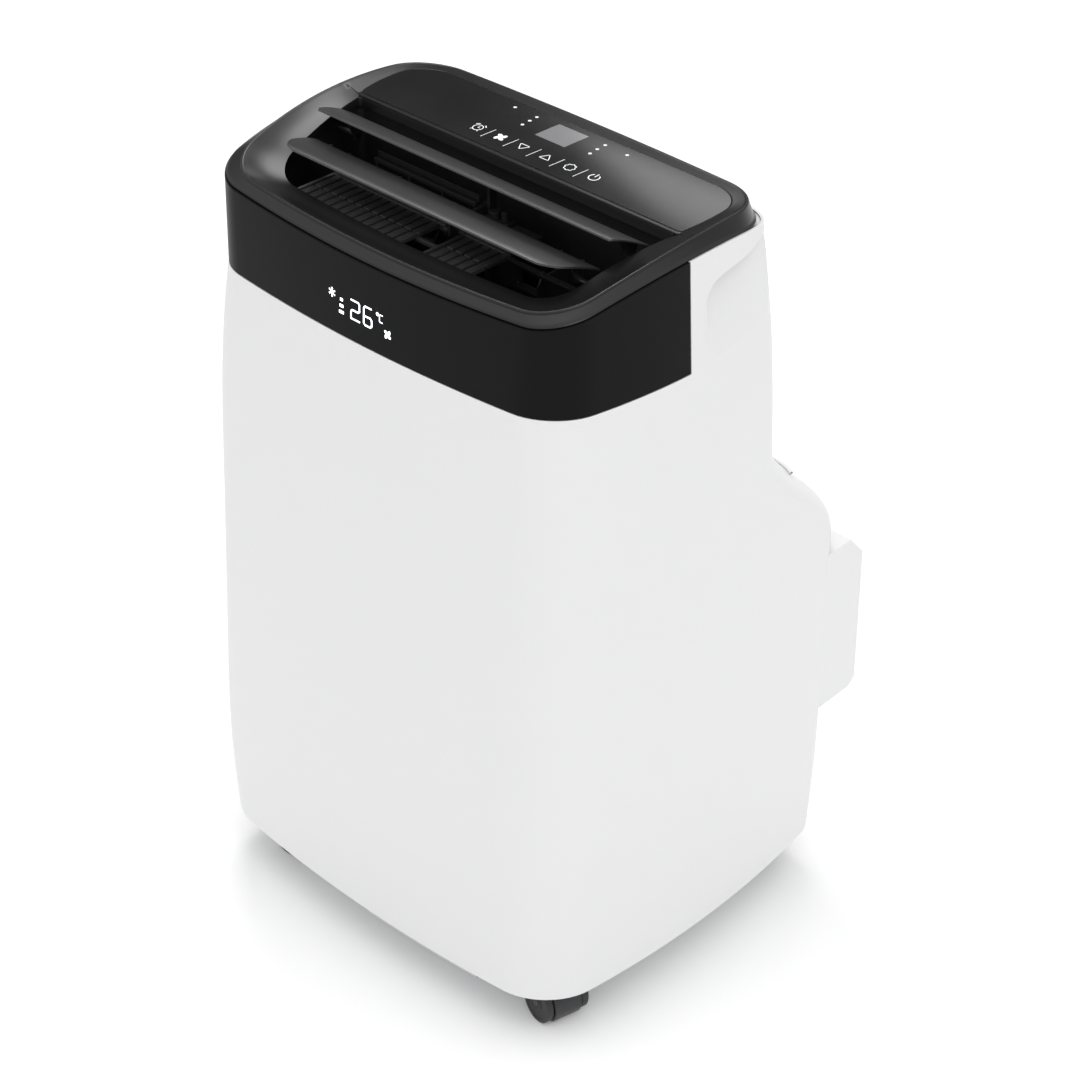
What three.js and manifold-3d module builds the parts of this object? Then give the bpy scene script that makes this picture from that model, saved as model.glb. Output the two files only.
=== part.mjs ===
// Portable air conditioner on casters, millimetres, +Z up, front towards -Y.
// The origin is on the floor, under the middle of the whole object's box.
import * as THREE from 'three';
import { mergeVertices } from 'three/addons/utils/BufferGeometryUtils.js';
import Module from 'manifold-3d';

const wasm = await Module();
wasm.setup();

// ---- driving dimensions ----
const CABINET_BOTTOM = 52;
const BAND_BOTTOM = 627;
const SEAM_Y = -38.5;
const WALL = 2.6;
const GAP = 0.4;
const TOP_REF_Y = -43;
const BLOCK_LOW = 192;
const BLOCK_HIGH = 359;
const BLOCK_REAR = 215.1;
const BLOCK_HALF = 209;
const PANEL_HALF = 178;
const REAR_SPLIT_Z = 455;
const LIP_REACH = 4.5;
const LIP_HALF = 200;
const PAN_BOTTOM = 50;
const DECK_Z = 372;
const WHEEL_RADIUS = 20;
const WHEEL_SIDES = 16;
const AXLE_Z = WHEEL_RADIUS * Math.cos(Math.PI / WHEEL_SIDES);
const EXHAUST_Z = 264;
const EXHAUST_RADIUS = 62;
const LOUVRE_FRONT_PIVOT = [-93, 706];
const LOUVRE_REAR_PIVOT = [-48, 712];
const LINK_DROP = 10;
const VANE_XS = [-150, -90, -30, 30, 90, 150];
const VANE_PIVOT_Y = -44;
const VANE_REACH = 32;
const BLOWER = { x: 0, y: -40, z: 510, radius: 92, width: 64 };
const CONDENSER_FAN = { x: 0, y: 50, z: 165, radius: 70, width: 52 };

// ---- colours and finishes ----
const finish = (color, roughness, metalness = 0) => new THREE.MeshStandardMaterial({ color, roughness, metalness });
const WHITE = () => finish(0xe9e9e9, 0.45);
const BLACK = () => finish(0x1c1c1d, 0.42);
const GLOSS = () => finish(0x101011, 0.12);
const SATIN = () => finish(0x3a3a3c, 0.35);
const GREY = () => finish(0xc4c5c6, 0.5);
const STEEL = () => finish(0xb9bcbe, 0.4, 0.9);
const COPPER = () => finish(0xb8734a, 0.35, 0.95);
const RUBBER = () => finish(0x161616, 0.85);
const BOARD = () => finish(0x1f5a3a, 0.6);

// ---- small solids ----
function toSolid(geometry) {
  const bare = geometry.index ? geometry.clone() : geometry;
  bare.deleteAttribute('normal');
  bare.deleteAttribute('uv');
  const merged = mergeVertices(bare, 1e-4);
  const vertProperties = new Float32Array(merged.attributes.position.array);
  const triVerts = new Uint32Array(merged.index.array);
  return new wasm.Manifold(new wasm.Mesh({ numProp: 3, vertProperties, triVerts }));
}

function toGeometry(solid) {
  const mesh = solid.getMesh();
  const geometry = new THREE.BufferGeometry();
  geometry.setAttribute('position', new THREE.BufferAttribute(new Float32Array(mesh.vertProperties), 3));
  geometry.setIndex(new THREE.BufferAttribute(new Uint32Array(mesh.triVerts), 1));
  geometry.computeVertexNormals();
  return geometry;
}

function box(x0, x1, y0, y1, z0, z1) {
  const geometry = new THREE.BoxGeometry(x1 - x0, y1 - y0, z1 - z0);
  geometry.translate((x0 + x1) / 2, (y0 + y1) / 2, (z0 + z1) / 2);
  return toSolid(geometry);
}

function rod(axis, radius, from, to, centre, sides = 16) {
  const geometry = new THREE.CylinderGeometry(radius, radius, to - from, sides);
  const middle = (from + to) / 2;
  if (axis === 'x') {
    geometry.rotateZ(Math.PI / 2);
    geometry.translate(middle, centre[0], centre[1]);
  } else if (axis === 'y') {
    geometry.translate(centre[0], middle, centre[1]);
  } else {
    geometry.rotateX(Math.PI / 2);
    geometry.translate(centre[0], centre[1], middle);
  }
  return toSolid(geometry);
}

// A flat outline in the Y-Z plane, given thickness along X.
function sidePlate(points, x0, x1) {
  const shape = new THREE.Shape(points.map(([y, z]) => new THREE.Vector2(y, z)));
  const geometry = new THREE.ExtrudeGeometry(shape, { depth: x1 - x0, bevelEnabled: false });
  geometry.applyMatrix4(new THREE.Matrix4().makeBasis(
    new THREE.Vector3(0, 1, 0),
    new THREE.Vector3(0, 0, 1),
    new THREE.Vector3(1, 0, 0),
  ));
  geometry.translate(x0, 0, 0);
  return toSolid(geometry);
}

const join = (...solids) => solids.reduce((sum, next) => sum.add(next));
const cut = (solid, ...tools) => tools.reduce((rest, tool) => rest.subtract(tool), solid);
const lerp = THREE.MathUtils.lerp;

// ---- plan outlines: four bowed sides with blended corners, the same left and right ----
function bowedSide(from, to, sag) {
  const run = to.clone().sub(from);
  const out = new THREE.Vector2(run.y, -run.x).normalize();
  return {
    length: run.length(),
    at: (t) => from.clone().addScaledVector(run, t).addScaledVector(out, 4 * sag * t * (1 - t)),
    along: (t) => run.clone().addScaledVector(out, 4 * sag * (1 - 2 * t)),
  };
}

function cornerCurve(first, t1, second, t2, steps) {
  const p = first.at(t1);
  const q = second.at(t2);
  const dp = first.along(t1);
  const dq = second.along(t2);
  const reach = q.clone().sub(p).cross(dq) / dp.cross(dq);
  const knee = p.clone().addScaledVector(dp, reach);
  const roundness = 0.56;
  const curve = new THREE.CubicBezierCurve(p, p.clone().lerp(knee, roundness), q.clone().lerp(knee, roundness), q);
  return curve.getPoints(steps);
}

const FRONT_STEPS = 2;
const CORNER_STEPS = 4;
const SIDE_STEPS = 3;
const REAR_STEPS = 1;

function planOutline(s, inset = 0) {
  const fw = s.wf - inset;
  const fy = s.yf + inset;
  const rw = s.wr - inset;
  const ry = s.yr - inset;
  const front = bowedSide(new THREE.Vector2(-fw, fy), new THREE.Vector2(fw, fy), s.bf);
  const side = bowedSide(new THREE.Vector2(fw, fy), new THREE.Vector2(rw, ry), s.bs);
  const rear = bowedSide(new THREE.Vector2(rw, ry), new THREE.Vector2(-rw, ry), s.br);
  const rf = Math.max(s.rf - inset, 2);
  const rr = Math.max(s.rr - inset, 2);
  const frontEnd = 1 - rf / front.length;
  const sideStart = rf / side.length;
  const sideEnd = 1 - rr / side.length;
  const rearStart = rr / rear.length;
  const half = [];
  for (let i = 0; i < FRONT_STEPS; i++) half.push(front.at(lerp(0.5, frontEnd, i / FRONT_STEPS)));
  half.push(...cornerCurve(front, frontEnd, side, sideStart, CORNER_STEPS));
  for (let i = 1; i < SIDE_STEPS; i++) half.push(side.at(lerp(sideStart, sideEnd, i / SIDE_STEPS)));
  half.push(...cornerCurve(side, sideEnd, rear, rearStart, CORNER_STEPS));
  for (let i = 1; i <= REAR_STEPS; i++) half.push(rear.at(lerp(rearStart, 0.5, i / REAR_STEPS)));
  half[0].x = 0;
  half[half.length - 1].x = 0;
  const left = half.slice(1, -1).reverse().map((v) => new THREE.Vector2(-v.x, v.y));
  return [...half, ...left];
}

const ring = (spec, inset, heightAt) =>
  planOutline(spec, inset).map((v) => new THREE.Vector3(v.x, v.y, heightAt(v.y)));

// Closed solid through a stack of rings, each cap laid as straight strips across X.
function loft(rings) {
  const count = rings[0].length;
  const positions = rings.flat().flatMap((v) => [v.x, v.y, v.z]);
  const index = [];
  for (let k = 0; k + 1 < rings.length; k++) {
    for (let i = 0; i < count; i++) {
      const a = k * count + i;
      const b = k * count + (i + 1) % count;
      index.push(a, b, b + count, a, b + count, a + count);
    }
  }
  const top = (rings.length - 1) * count;
  for (let i = 0; i < count / 2; i++) {
    const j = (count - i) % count;
    const quad = [i, i + 1, count - i - 1, j];
    for (const [p, q, r] of [[0, 1, 2], [0, 2, 3]]) {
      const three = [quad[p], quad[q], quad[r]];
      if (new Set(three).size < 3) continue;
      index.push(...three.map((v) => v + top));
      index.push(three[0], three[2], three[1]);
    }
  }
  const geometry = new THREE.BufferGeometry();
  geometry.setAttribute('position', new THREE.BufferAttribute(new Float32Array(positions), 3));
  geometry.setIndex(index);
  return toSolid(geometry);
}

// ---- cabinet sections ----
const level = (z) => () => z;
const arched = (base, slope, curve) => (y) => base + slope * (y - TOP_REF_Y) - curve * (y - TOP_REF_Y) ** 2;
const crestZ = arched(737.4, 0.086, 0.00093);
const shoulderZ = arched(725.6, 0.035, 0.00095);
const ventZ = arched(730.5, 0.1035, 0.00157);
const deckZ = arched(731.1, 0.137, 0.0009);
const lifted = (height, by) => (y) => height(y) + by;

function swell(z) {
  if (z > 450) return 6.1 * (1 - ((z - 450) / (BAND_BOTTOM - 450)) ** 2.6);
  if (z < 200) return 6.1 * (1 - ((200 - z) / (200 - CABINET_BOTTOM)) ** 2);
  return 6.1;
}

const WALL_FOOT_Z = 500;
const BULGE_Z = 375;
const BULGE_Y = 183;

function rearY(z) {
  if (z >= WALL_FOOT_Z) return lerp(94, 90, (z - WALL_FOOT_Z) / (BAND_BOTTOM - WALL_FOOT_Z));
  if (z <= BULGE_Z) return lerp(BULGE_Y, 180, (BULGE_Z - z) / (BULGE_Z - CABINET_BOTTOM));
  const turn = (WALL_FOOT_Z - z) / (WALL_FOOT_Z - BULGE_Z) * Math.PI / 2;
  return 94 + (BULGE_Y - 94) * Math.sin(turn) ** 1.8;
}

function bodySpec(z) {
  const t = (BAND_BOTTOM - z) / (BAND_BOTTOM - CABINET_BOTTOM);
  const out = swell(z);
  return {
    wf: lerp(202.2, 217.2, t) + out,
    yf: lerp(-178.6, -198.1, t) - out,
    wr: lerp(208, 204, Math.min(1, 1.7 * t)) + out,
    yr: rearY(z),
    bf: lerp(14.3, 15.7, t),
    bs: lerp(16, 17.9, t),
    br: 5.3,
    rf: lerp(39, 48, t),
    rr: 33,
  };
}

const SHOULDER = { wf: 204, yf: -175, wr: 201, yr: 84, bf: 14, bs: 14.2, br: 5.3, rf: 36, rr: 35 };
const CREST = { wf: 194, yf: -165.9, wr: 196.5, yr: 73.4, bf: 12.1, bs: 12, br: 6.6, rf: 37, rr: 41 };
const DISH = { wf: 191.6, yf: -163.5, wr: 204.3, yr: -20.2, bf: 12.1, bs: 4.7, br: 0, rf: 36, rr: 2 };
const VENT = { wf: 164.5, yf: -139.4, wr: 184.5, yr: -21.4, bf: 6, bs: 0.5, br: 0, rf: 27.6, rr: 5 };
const DECK = { wf: 187, yf: -20.8, wr: 184.4, yr: 60.6, bf: 0, bs: 4.5, br: 1.6, rf: 2, rr: 30 };
const DECK_RIM = { wf: 204.3, yf: -20.8, wr: 194.1, yr: 71, bf: 0, bs: 3.5, br: 6.6, rf: 2, rr: 39 };
const TOUCH_PANEL = { wf: 186.4, yf: -17.7, wr: 183.2, yr: 59.4, bf: 0, bs: 4.5, br: 1.6, rf: 3, rr: 29.3 };
const BODY_LEVELS = [CABINET_BOTTOM, 90, 200, BULGE_Z, 400, 430, 462, WALL_FOOT_Z, BAND_BOTTOM];

const bodyRing = (z, inset = 0) => ring(bodySpec(z), inset, level(z));
const cabinetSolid = loft([...BODY_LEVELS.map((z) => bodyRing(z)), ring(SHOULDER, 0, shoulderZ)]);
const cabinetHollow = loft([
  ring(bodySpec(CABINET_BOTTOM), WALL, level(CABINET_BOTTOM - 1)),
  ...BODY_LEVELS.map((z) => bodyRing(z, WALL)),
  ring(SHOULDER, WALL, lifted(shoulderZ, 0.5)),
]);
const cabinetGrown = loft([
  ...BODY_LEVELS.map((z) => bodyRing(z, -GAP)),
  ring(SHOULDER, -GAP, shoulderZ),
]);
const shell = cut(cabinetSolid, cabinetHollow);

// ---- meshes ----
const unit = new THREE.Group();

function place(name, solid, material, parent = unit) {
  const mesh = new THREE.Mesh(toGeometry(solid), material);
  mesh.name = name;
  parent.add(mesh);
  return mesh;
}

// ---- side hand grips: pockets deepest under their top edge ----
const GRIP = { y0: -19, y1: 48, z0: 632, z1: 702 };
const GRIP_DEPTH = 26;

function gripPocket(side, grow) {
  const outer = side * 240;
  const mouth = side * 196;
  const [x0, x1] = outer > mouth ? [mouth, outer] : [outer, mouth];
  return box(x0, x1, GRIP.y0 - grow, GRIP.y1 + grow, GRIP.z0 - grow, GRIP.z1 + grow);
}

function grip(side) {
  const rim = 0.5;
  const block = gripPocket(side, -GAP).intersect(cut(cabinetSolid, cabinetHollow.intersect(
    side > 0 ? box(0, 196, -200, 200, 600, 740) : box(-196, 0, -200, 200, 600, 740),
  )));
  const deep = side * (218 - GRIP_DEPTH + 3);
  const scoop = sidePlateX([
    [side * 240, GRIP.z0 + 3],
    [side * 217, GRIP.z0 + 3],
    [deep, GRIP.z1 - 16],
    [deep, GRIP.z1 - 3],
    [side * 240, GRIP.z1 - 3],
  ], GRIP.y0 + 3 + rim, GRIP.y1 - 3 - rim);
  return block.subtract(scoop);
}

// A flat outline in the X-Z plane, given thickness along Y.
function sidePlateX(points, y0, y1) {
  const shape = new THREE.Shape(points.map(([x, z]) => new THREE.Vector2(x, z)));
  const geometry = new THREE.ExtrudeGeometry(shape, { depth: y1 - y0, bevelEnabled: false });
  geometry.rotateX(Math.PI / 2);
  geometry.translate(0, y1, 0);
  return toSolid(geometry);
}

place('right_hand_grip', grip(1), WHITE());
place('left_hand_grip', grip(-1), WHITE());

// ---- cabinet, rear panels and the black display band ----
const rearWindow = (grow) => box(-PANEL_HALF - grow, PANEL_HALF + grow, 60, 260, CABINET_BOTTOM - 5, 712 + grow);
const bandRegion = (gap) => box(-300, 300, -300, SEAM_Y - gap, BAND_BOTTOM + gap, 800);

place('cabinet', cut(
  shell,
  bandRegion(0),
  rearWindow(0),
  gripPocket(1, 0),
  gripPocket(-1, 0),
), WHITE());
place('display_band', shell.intersect(bandRegion(GAP)), BLACK());

const rearSkin = shell.intersect(rearWindow(-GAP));
const UPPER_WINDOW = [-140, 140, 60, 130, 510, 690];
const LOWER_WINDOW = [-140, 140, 150, 220, 88, 180];
const COLLAR_FRONT = BLOCK_REAR - 26;
const exhaustRod = (radius, from, to) => rod('y', radius, from, to, [0, EXHAUST_Z], 24);
const plugHole = (z, x) => rod('y', 9, 100, 230, [x, z], 12);
const glandHole = rod('y', 7.5, 150, 230, [155, 120], 12);

const lipSpec = bodySpec(REAR_SPLIT_Z + 2);
const rearLip = cut(
  loft([
    ring(lipSpec, -LIP_REACH, level(REAR_SPLIT_Z + 0.6)),
    ring(lipSpec, -LIP_REACH, level(REAR_SPLIT_Z + 3.6)),
  ]).intersect(box(-LIP_HALF, LIP_HALF, 60, 300, 0, 900)),
  cabinetHollow,
  cut(cabinetGrown, box(-PANEL_HALF + GAP, PANEL_HALF - GAP, 0, 300, 0, 900)),
);
place('rear_upper_panel', cut(
  join(rearSkin.intersect(box(-300, 300, 0, 300, REAR_SPLIT_Z + GAP / 2, 900)), rearLip),
  box(...UPPER_WINDOW),
), WHITE());
place('rear_lower_panel', cut(
  rearSkin.intersect(box(-300, 300, 0, 300, 0, REAR_SPLIT_Z - GAP / 2)),
  box(...LOWER_WINDOW),
  exhaustRod(EXHAUST_RADIUS + 3, 150, 230),
  plugHole(384, -120),
  plugHole(70, 0),
  glandHole,
), WHITE());

// ---- exhaust housing at the back, its hose collar and the duct behind it ----
const HOUSING_FRONT = 135;
const housingProfile = [
  [HOUSING_FRONT, BLOCK_LOW],
  [BLOCK_REAR - 8, BLOCK_LOW],
  [BLOCK_REAR, BLOCK_LOW + 7],
  [BLOCK_REAR, BLOCK_HIGH - 22],
  [BLOCK_REAR - 20, BLOCK_HIGH],
  [HOUSING_FRONT, BLOCK_HIGH],
];
const housingInner = [
  [HOUSING_FRONT - 10, BLOCK_LOW + 3],
  [BLOCK_REAR - 9, BLOCK_LOW + 3],
  [BLOCK_REAR - 3, BLOCK_LOW + 9],
  [BLOCK_REAR - 3, BLOCK_HIGH - 23],
  [BLOCK_REAR - 21, BLOCK_HIGH - 3],
  [HOUSING_FRONT - 10, BLOCK_HIGH - 3],
];
place('exhaust_housing', cut(
  sidePlate(housingProfile, -BLOCK_HALF, BLOCK_HALF),
  sidePlate(housingInner, -BLOCK_HALF + 3, BLOCK_HALF - 3),
  exhaustRod(EXHAUST_RADIUS + 3, 200, 230),
  cabinetGrown,
), WHITE());
place('exhaust_collar', cut(
  join(
    exhaustRod(EXHAUST_RADIUS + 2.5, COLLAR_FRONT, BLOCK_REAR),
    exhaustRod(EXHAUST_RADIUS + 6, COLLAR_FRONT, COLLAR_FRONT + 4),
  ),
  exhaustRod(EXHAUST_RADIUS, COLLAR_FRONT - 5, BLOCK_REAR + 5),
), WHITE());
const FAN_CASE_REAR = CONDENSER_FAN.y + CONDENSER_FAN.width / 2 + 8;
place('exhaust_duct', cut(
  exhaustRod(EXHAUST_RADIUS - 1, FAN_CASE_REAR + GAP, COLLAR_FRONT - GAP),
  exhaustRod(EXHAUST_RADIUS - 3, FAN_CASE_REAR - 1, COLLAR_FRONT + 1),
), GREY());

// ---- top frame with the outlet opening and the touch panel's seat ----
const SKIRT_INSET = WALL + GAP;
const topBlank = loft([
  ring(SHOULDER, SKIRT_INSET, lifted(shoulderZ, -8)),
  ring(SHOULDER, SKIRT_INSET, lifted(shoulderZ, 0.5)),
  ring(SHOULDER, 1.6, lifted(shoulderZ, 0.9)),
  ring(SHOULDER, 3.5, lifted(shoulderZ, 2.4)),
  ring(CREST, 0, lifted(crestZ, -1)),
  ring(CREST, 1.2, crestZ),
]);
const underside = loft([
  ring(SHOULDER, SKIRT_INSET + 3, lifted(shoulderZ, -20)),
  ring(CREST, 3, lifted(ventZ, -9)),
]);
const outletCut = loft([
  ring(VENT, 0, level(650)),
  ring(VENT, 0, ventZ),
  ring(DISH, 0, lifted(crestZ, 0.3)),
  ring(DISH, 0, lifted(crestZ, 20)),
]);
const deckCut = loft([
  ring(DECK, 0, deckZ),
  ring(DECK_RIM, 0, lifted(crestZ, 0.3)),
  ring(DECK_RIM, 0, lifted(crestZ, 20)),
]);
const panelSeat = loft([
  ring(TOUCH_PANEL, -GAP, lifted(deckZ, -3.4)),
  ring(TOUCH_PANEL, -GAP, lifted(deckZ, 8)),
]);
place('top_frame', cut(topBlank, underside, outletCut, deckCut, panelSeat), BLACK());

const windowBox = (grow) => box(-17.5 - grow, 17.5 + grow, 23.5 - grow, 53.5 + grow, 700, 760);
const touchPanel = loft([
  ring(TOUCH_PANEL, 0, lifted(deckZ, -3)),
  ring(TOUCH_PANEL, 0, deckZ),
]);
place('touch_panel', cut(touchPanel, windowBox(GAP / 2)), GLOSS());
place('panel_display_window', touchPanel.intersect(windowBox(-GAP / 2)), finish(0x6d6d6f, 0.3));

const postAt = (x, y) => rod('z', 3, 712, ventZ(y) - 10.5, [x, y], 6);
place('control_board', join(
  box(-90, 90, -12, 50, 710.5, 712.3),
  ...[-80, 80].flatMap((x) => [postAt(x, -4), postAt(x, 42)]),
), BOARD());
place('front_display_board', join(
  box(-42, 42, -184, -182.4, 636, 690),
  rod('y', 3, -187, -183, [-36, 642], 6),
  rod('y', 3, -187, -183, [36, 642], 6),
), BOARD());

// ---- outlet duct ----
const DUCT_FOOT = 634;
const pinHole = (pivot, side) => rod('x', 2.9, side > 0 ? 160 : -200, side > 0 ? 200 : -160, pivot, 8);
const ductRail = cut(
  box(-183.5, 183.5, VANE_PIVOT_Y - 5, VANE_PIVOT_Y + 5, DUCT_FOOT, DUCT_FOOT + 5),
  ...VANE_XS.map((x) => rod('z', 2.4, DUCT_FOOT - 5, DUCT_FOOT + 10, [x, VANE_PIVOT_Y], 6)),
);
const ductWalls = cut(
  loft([
    ring(VENT, -4, level(DUCT_FOOT)),
    ring(VENT, -4, lifted(ventZ, -11)),
  ]),
  loft([
    ring(VENT, -2, level(DUCT_FOOT - 1)),
    ring(VENT, -2, lifted(ventZ, -10)),
  ]),
  ...[-1, 1].flatMap((side) => [pinHole(LOUVRE_FRONT_PIVOT, side), pinHole(LOUVRE_REAR_PIVOT, side)]),
);
place('air_duct', join(ductWalls, ductRail), BLACK());

// ---- outlet grille under the front blade ----
const GRILLE_Z = 685;
const GRILLE_PITCH = 10;
const SLOT_WIDTH = 4;
const grilleSlots = [];
for (let x = -136; x < 56; x += GRILLE_PITCH) {
  if (x > -22 && x < 10) continue;
  grilleSlots.push(box(x, x + SLOT_WIDTH, -135, -88, GRILLE_Z - 5, GRILLE_Z + 5));
}
place('outlet_grille', cut(
  box(-148, 62, -139, -84, GRILLE_Z - 2, GRILLE_Z + 3),
  box(-16, 10, -135, -88, GRILLE_Z - 5, GRILLE_Z + 5),
  ...grilleSlots,
), SATIN());

// ---- louvre blades, drawn open; each turns on two pins ----
function bladeSolid(spec) {
  const shape = new THREE.Shape();
  shape.moveTo(-spec.frontHalf, 0);
  shape.lineTo(spec.frontHalf, 0);
  shape.quadraticCurveTo(spec.cornerHalf, 0, spec.midHalf, spec.midReach);
  shape.lineTo(spec.rearHalf, spec.chord);
  shape.lineTo(-spec.rearHalf, spec.chord);
  shape.lineTo(-spec.midHalf, spec.midReach);
  shape.quadraticCurveTo(-spec.cornerHalf, 0, -spec.frontHalf, 0);
  const geometry = new THREE.ExtrudeGeometry(shape, { depth: 2.4, bevelEnabled: false, curveSegments: 4 });
  geometry.rotateX(-spec.slope);
  geometry.translate(0, spec.front[0], spec.front[1]);
  return toSolid(geometry);
}

function louvre(spec, pivot) {
  const [py, pz] = pivot;
  const bladeFoot = (y) => spec.front[1] - (y - spec.front[0]) * Math.tan(spec.slope) + 1;
  const arm = [
    [spec.armSpan[0], bladeFoot(spec.armSpan[0])],
    [py - 3, pz - 3.5],
    [py + 3, pz - 3.5],
    [spec.armSpan[1], bladeFoot(spec.armSpan[1])],
  ];
  const arms = [-1, 1].flatMap((side) => {
    const x = side * spec.armX;
    const pinEnd = side * spec.pinEnd;
    return [
      sidePlate(arm, Math.min(x, x + side * 3), Math.max(x, x + side * 3)),
      rod('x', 2.4, Math.min(x, pinEnd), Math.max(x, pinEnd), pivot, 8),
    ];
  });
  const lug = sidePlate([
    [py - 4, bladeFoot(py - 4)],
    [py - 4, pz - LINK_DROP - 3.5],
    [py + 4, pz - LINK_DROP - 3.5],
    [py + 4, bladeFoot(py + 4)],
  ], 3, 6);
  const linkPin = rod('x', 1.9, -2.5, 4, [py, pz - LINK_DROP], 8);
  return join(bladeSolid(spec), ...arms, lug, linkPin);
}

const FRONT_BLADE = {
  front: [-133, 729.5],
  slope: Math.atan2(14, 49.5),
  chord: 48,
  frontHalf: 138,
  cornerHalf: 160,
  midHalf: 162,
  midReach: 24,
  rearHalf: 167,
  armX: 146,
  pinEnd: 176,
  armSpan: [-103, -87],
};
const REAR_BLADE = {
  front: [-79, 743],
  slope: Math.atan2(26, 54),
  chord: 59,
  frontHalf: 166,
  cornerHalf: 170,
  midHalf: 174,
  midReach: 24,
  rearHalf: 178,
  armX: 158,
  pinEnd: 183.6,
  armSpan: [-62, -38],
};
place('louvre_front', louvre(FRONT_BLADE, LOUVRE_FRONT_PIVOT), SATIN());
place('louvre_rear', louvre(REAR_BLADE, LOUVRE_REAR_PIVOT), SATIN());

const linkEnds = [
  [LOUVRE_FRONT_PIVOT[0], LOUVRE_FRONT_PIVOT[1] - LINK_DROP],
  [LOUVRE_REAR_PIVOT[0], LOUVRE_REAR_PIVOT[1] - LINK_DROP],
];
const linkBar = sidePlate([
  [linkEnds[0][0] - 4, linkEnds[0][1] - 4],
  [linkEnds[1][0] + 4, linkEnds[1][1] - 4],
  [linkEnds[1][0] + 4, linkEnds[1][1] + 4],
  [linkEnds[0][0] - 4, linkEnds[0][1] + 4],
], -2, 2);
place('louvre_link', cut(linkBar, ...linkEnds.map((end) => rod('x', 2.4, -5, 5, end, 8))), SATIN());
place('louvre_motor', join(
  rod('x', 12, 184, 198, [-93, 690], 16),
  box(182, 184.5, -112, -74, 684, 696),
), GREY());

// ---- vertical vanes and their tie bar ----
const VANE_TOP = 680;
const VANE_FOOT = DUCT_FOOT + 6;
for (const [i, x] of VANE_XS.entries()) {
  place(`vane_${i + 1}`, join(
    box(x - 0.9, x + 0.9, VANE_PIVOT_Y - VANE_REACH - 6, VANE_PIVOT_Y + 5, VANE_FOOT, VANE_TOP),
    rod('z', 1.9, DUCT_FOOT - 1, VANE_FOOT + 2, [x, VANE_PIVOT_Y], 6),
    rod('z', 1.4, VANE_TOP - 2, VANE_TOP + 4, [x, VANE_PIVOT_Y - VANE_REACH], 6),
  ), SATIN());
}
place('vane_tie_bar', cut(
  box(-157, 157, VANE_PIVOT_Y - VANE_REACH - 4, VANE_PIVOT_Y - VANE_REACH + 4, VANE_TOP + 0.4, VANE_TOP + 3),
  ...VANE_XS.map((x) => rod('z', 1.9, VANE_TOP - 3, VANE_TOP + 8, [x, VANE_PIVOT_Y - VANE_REACH], 6)),
), SATIN());

// ---- rear intake grilles and filters ----
function intakeGrille(y0, z0, z1, pitch, lean) {
  const frame = cut(
    box(-139.6, 139.6, y0, y0 + 4, z0 + GAP, z1 - GAP),
    box(-133, 133, y0 - 1, y0 + 5, z0 + 7, z1 - 7),
  );
  const slats = [];
  for (let z = z0 + 7 + pitch / 2; z < z1 - 8; z += pitch) {
    slats.push(sidePlate([[y0, z + lean], [y0 + 4, z], [y0 + 4, z + 2.2], [y0, z + lean + 2.2]], -134, 134));
  }
  const posts = [-67, 67].map((x) => box(x - 1.5, x + 1.5, y0, y0 + 2.5, z0 + 6, z1 - 6));
  return join(frame, ...slats, ...posts);
}
place('upper_intake_grille', intakeGrille(92.5, 510, 690, 18, 2), WHITE());
place('upper_filter', cut(
  box(-138, 138, 84, 88, 513, 687),
  ...[-69, 69].map((x) => box(x - 62, x + 62, 80, 86.6, 520, 680)),
), GREY());
place('lower_intake_grille', intakeGrille(182.5, 88, 180, 15, 2), WHITE());
place('lower_filter', cut(
  box(-138, 138, 174, 178, 91, 177),
  ...[-69, 69].map((x) => box(x - 62, x + 62, 170, 176.6, 98, 170)),
), GREY());

const plug = (x, z, seat) => join(
  rod('y', 8.4, seat - 12, seat + 3, [x, z], 12),
  rod('y', 12, seat + 2.6, seat + 6, [x, z], 12),
);
place('upper_drain_plug', plug(-120, 384, 186), RUBBER());
place('lower_drain_plug', plug(0, 70, 187), RUBBER());
place('cord_gland', cut(
  join(
    rod('y', 7, 172, 198, [155, 120], 10),
    rod('y', 11, 188, 192, [155, 120], 10),
    rod('y', 10, 170, 174, [155, 120], 10),
  ),
  rod('y', 4, 160, 210, [155, 120], 8),
), RUBBER());

// ---- base pan with its two sump lips, and the casters ----
const PAN_TOP = 70;
const PAN_INSET = WALL + 0.6;
const PAN_FLOOR = 3;
const SUMP_BOTTOM = 45;
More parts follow.
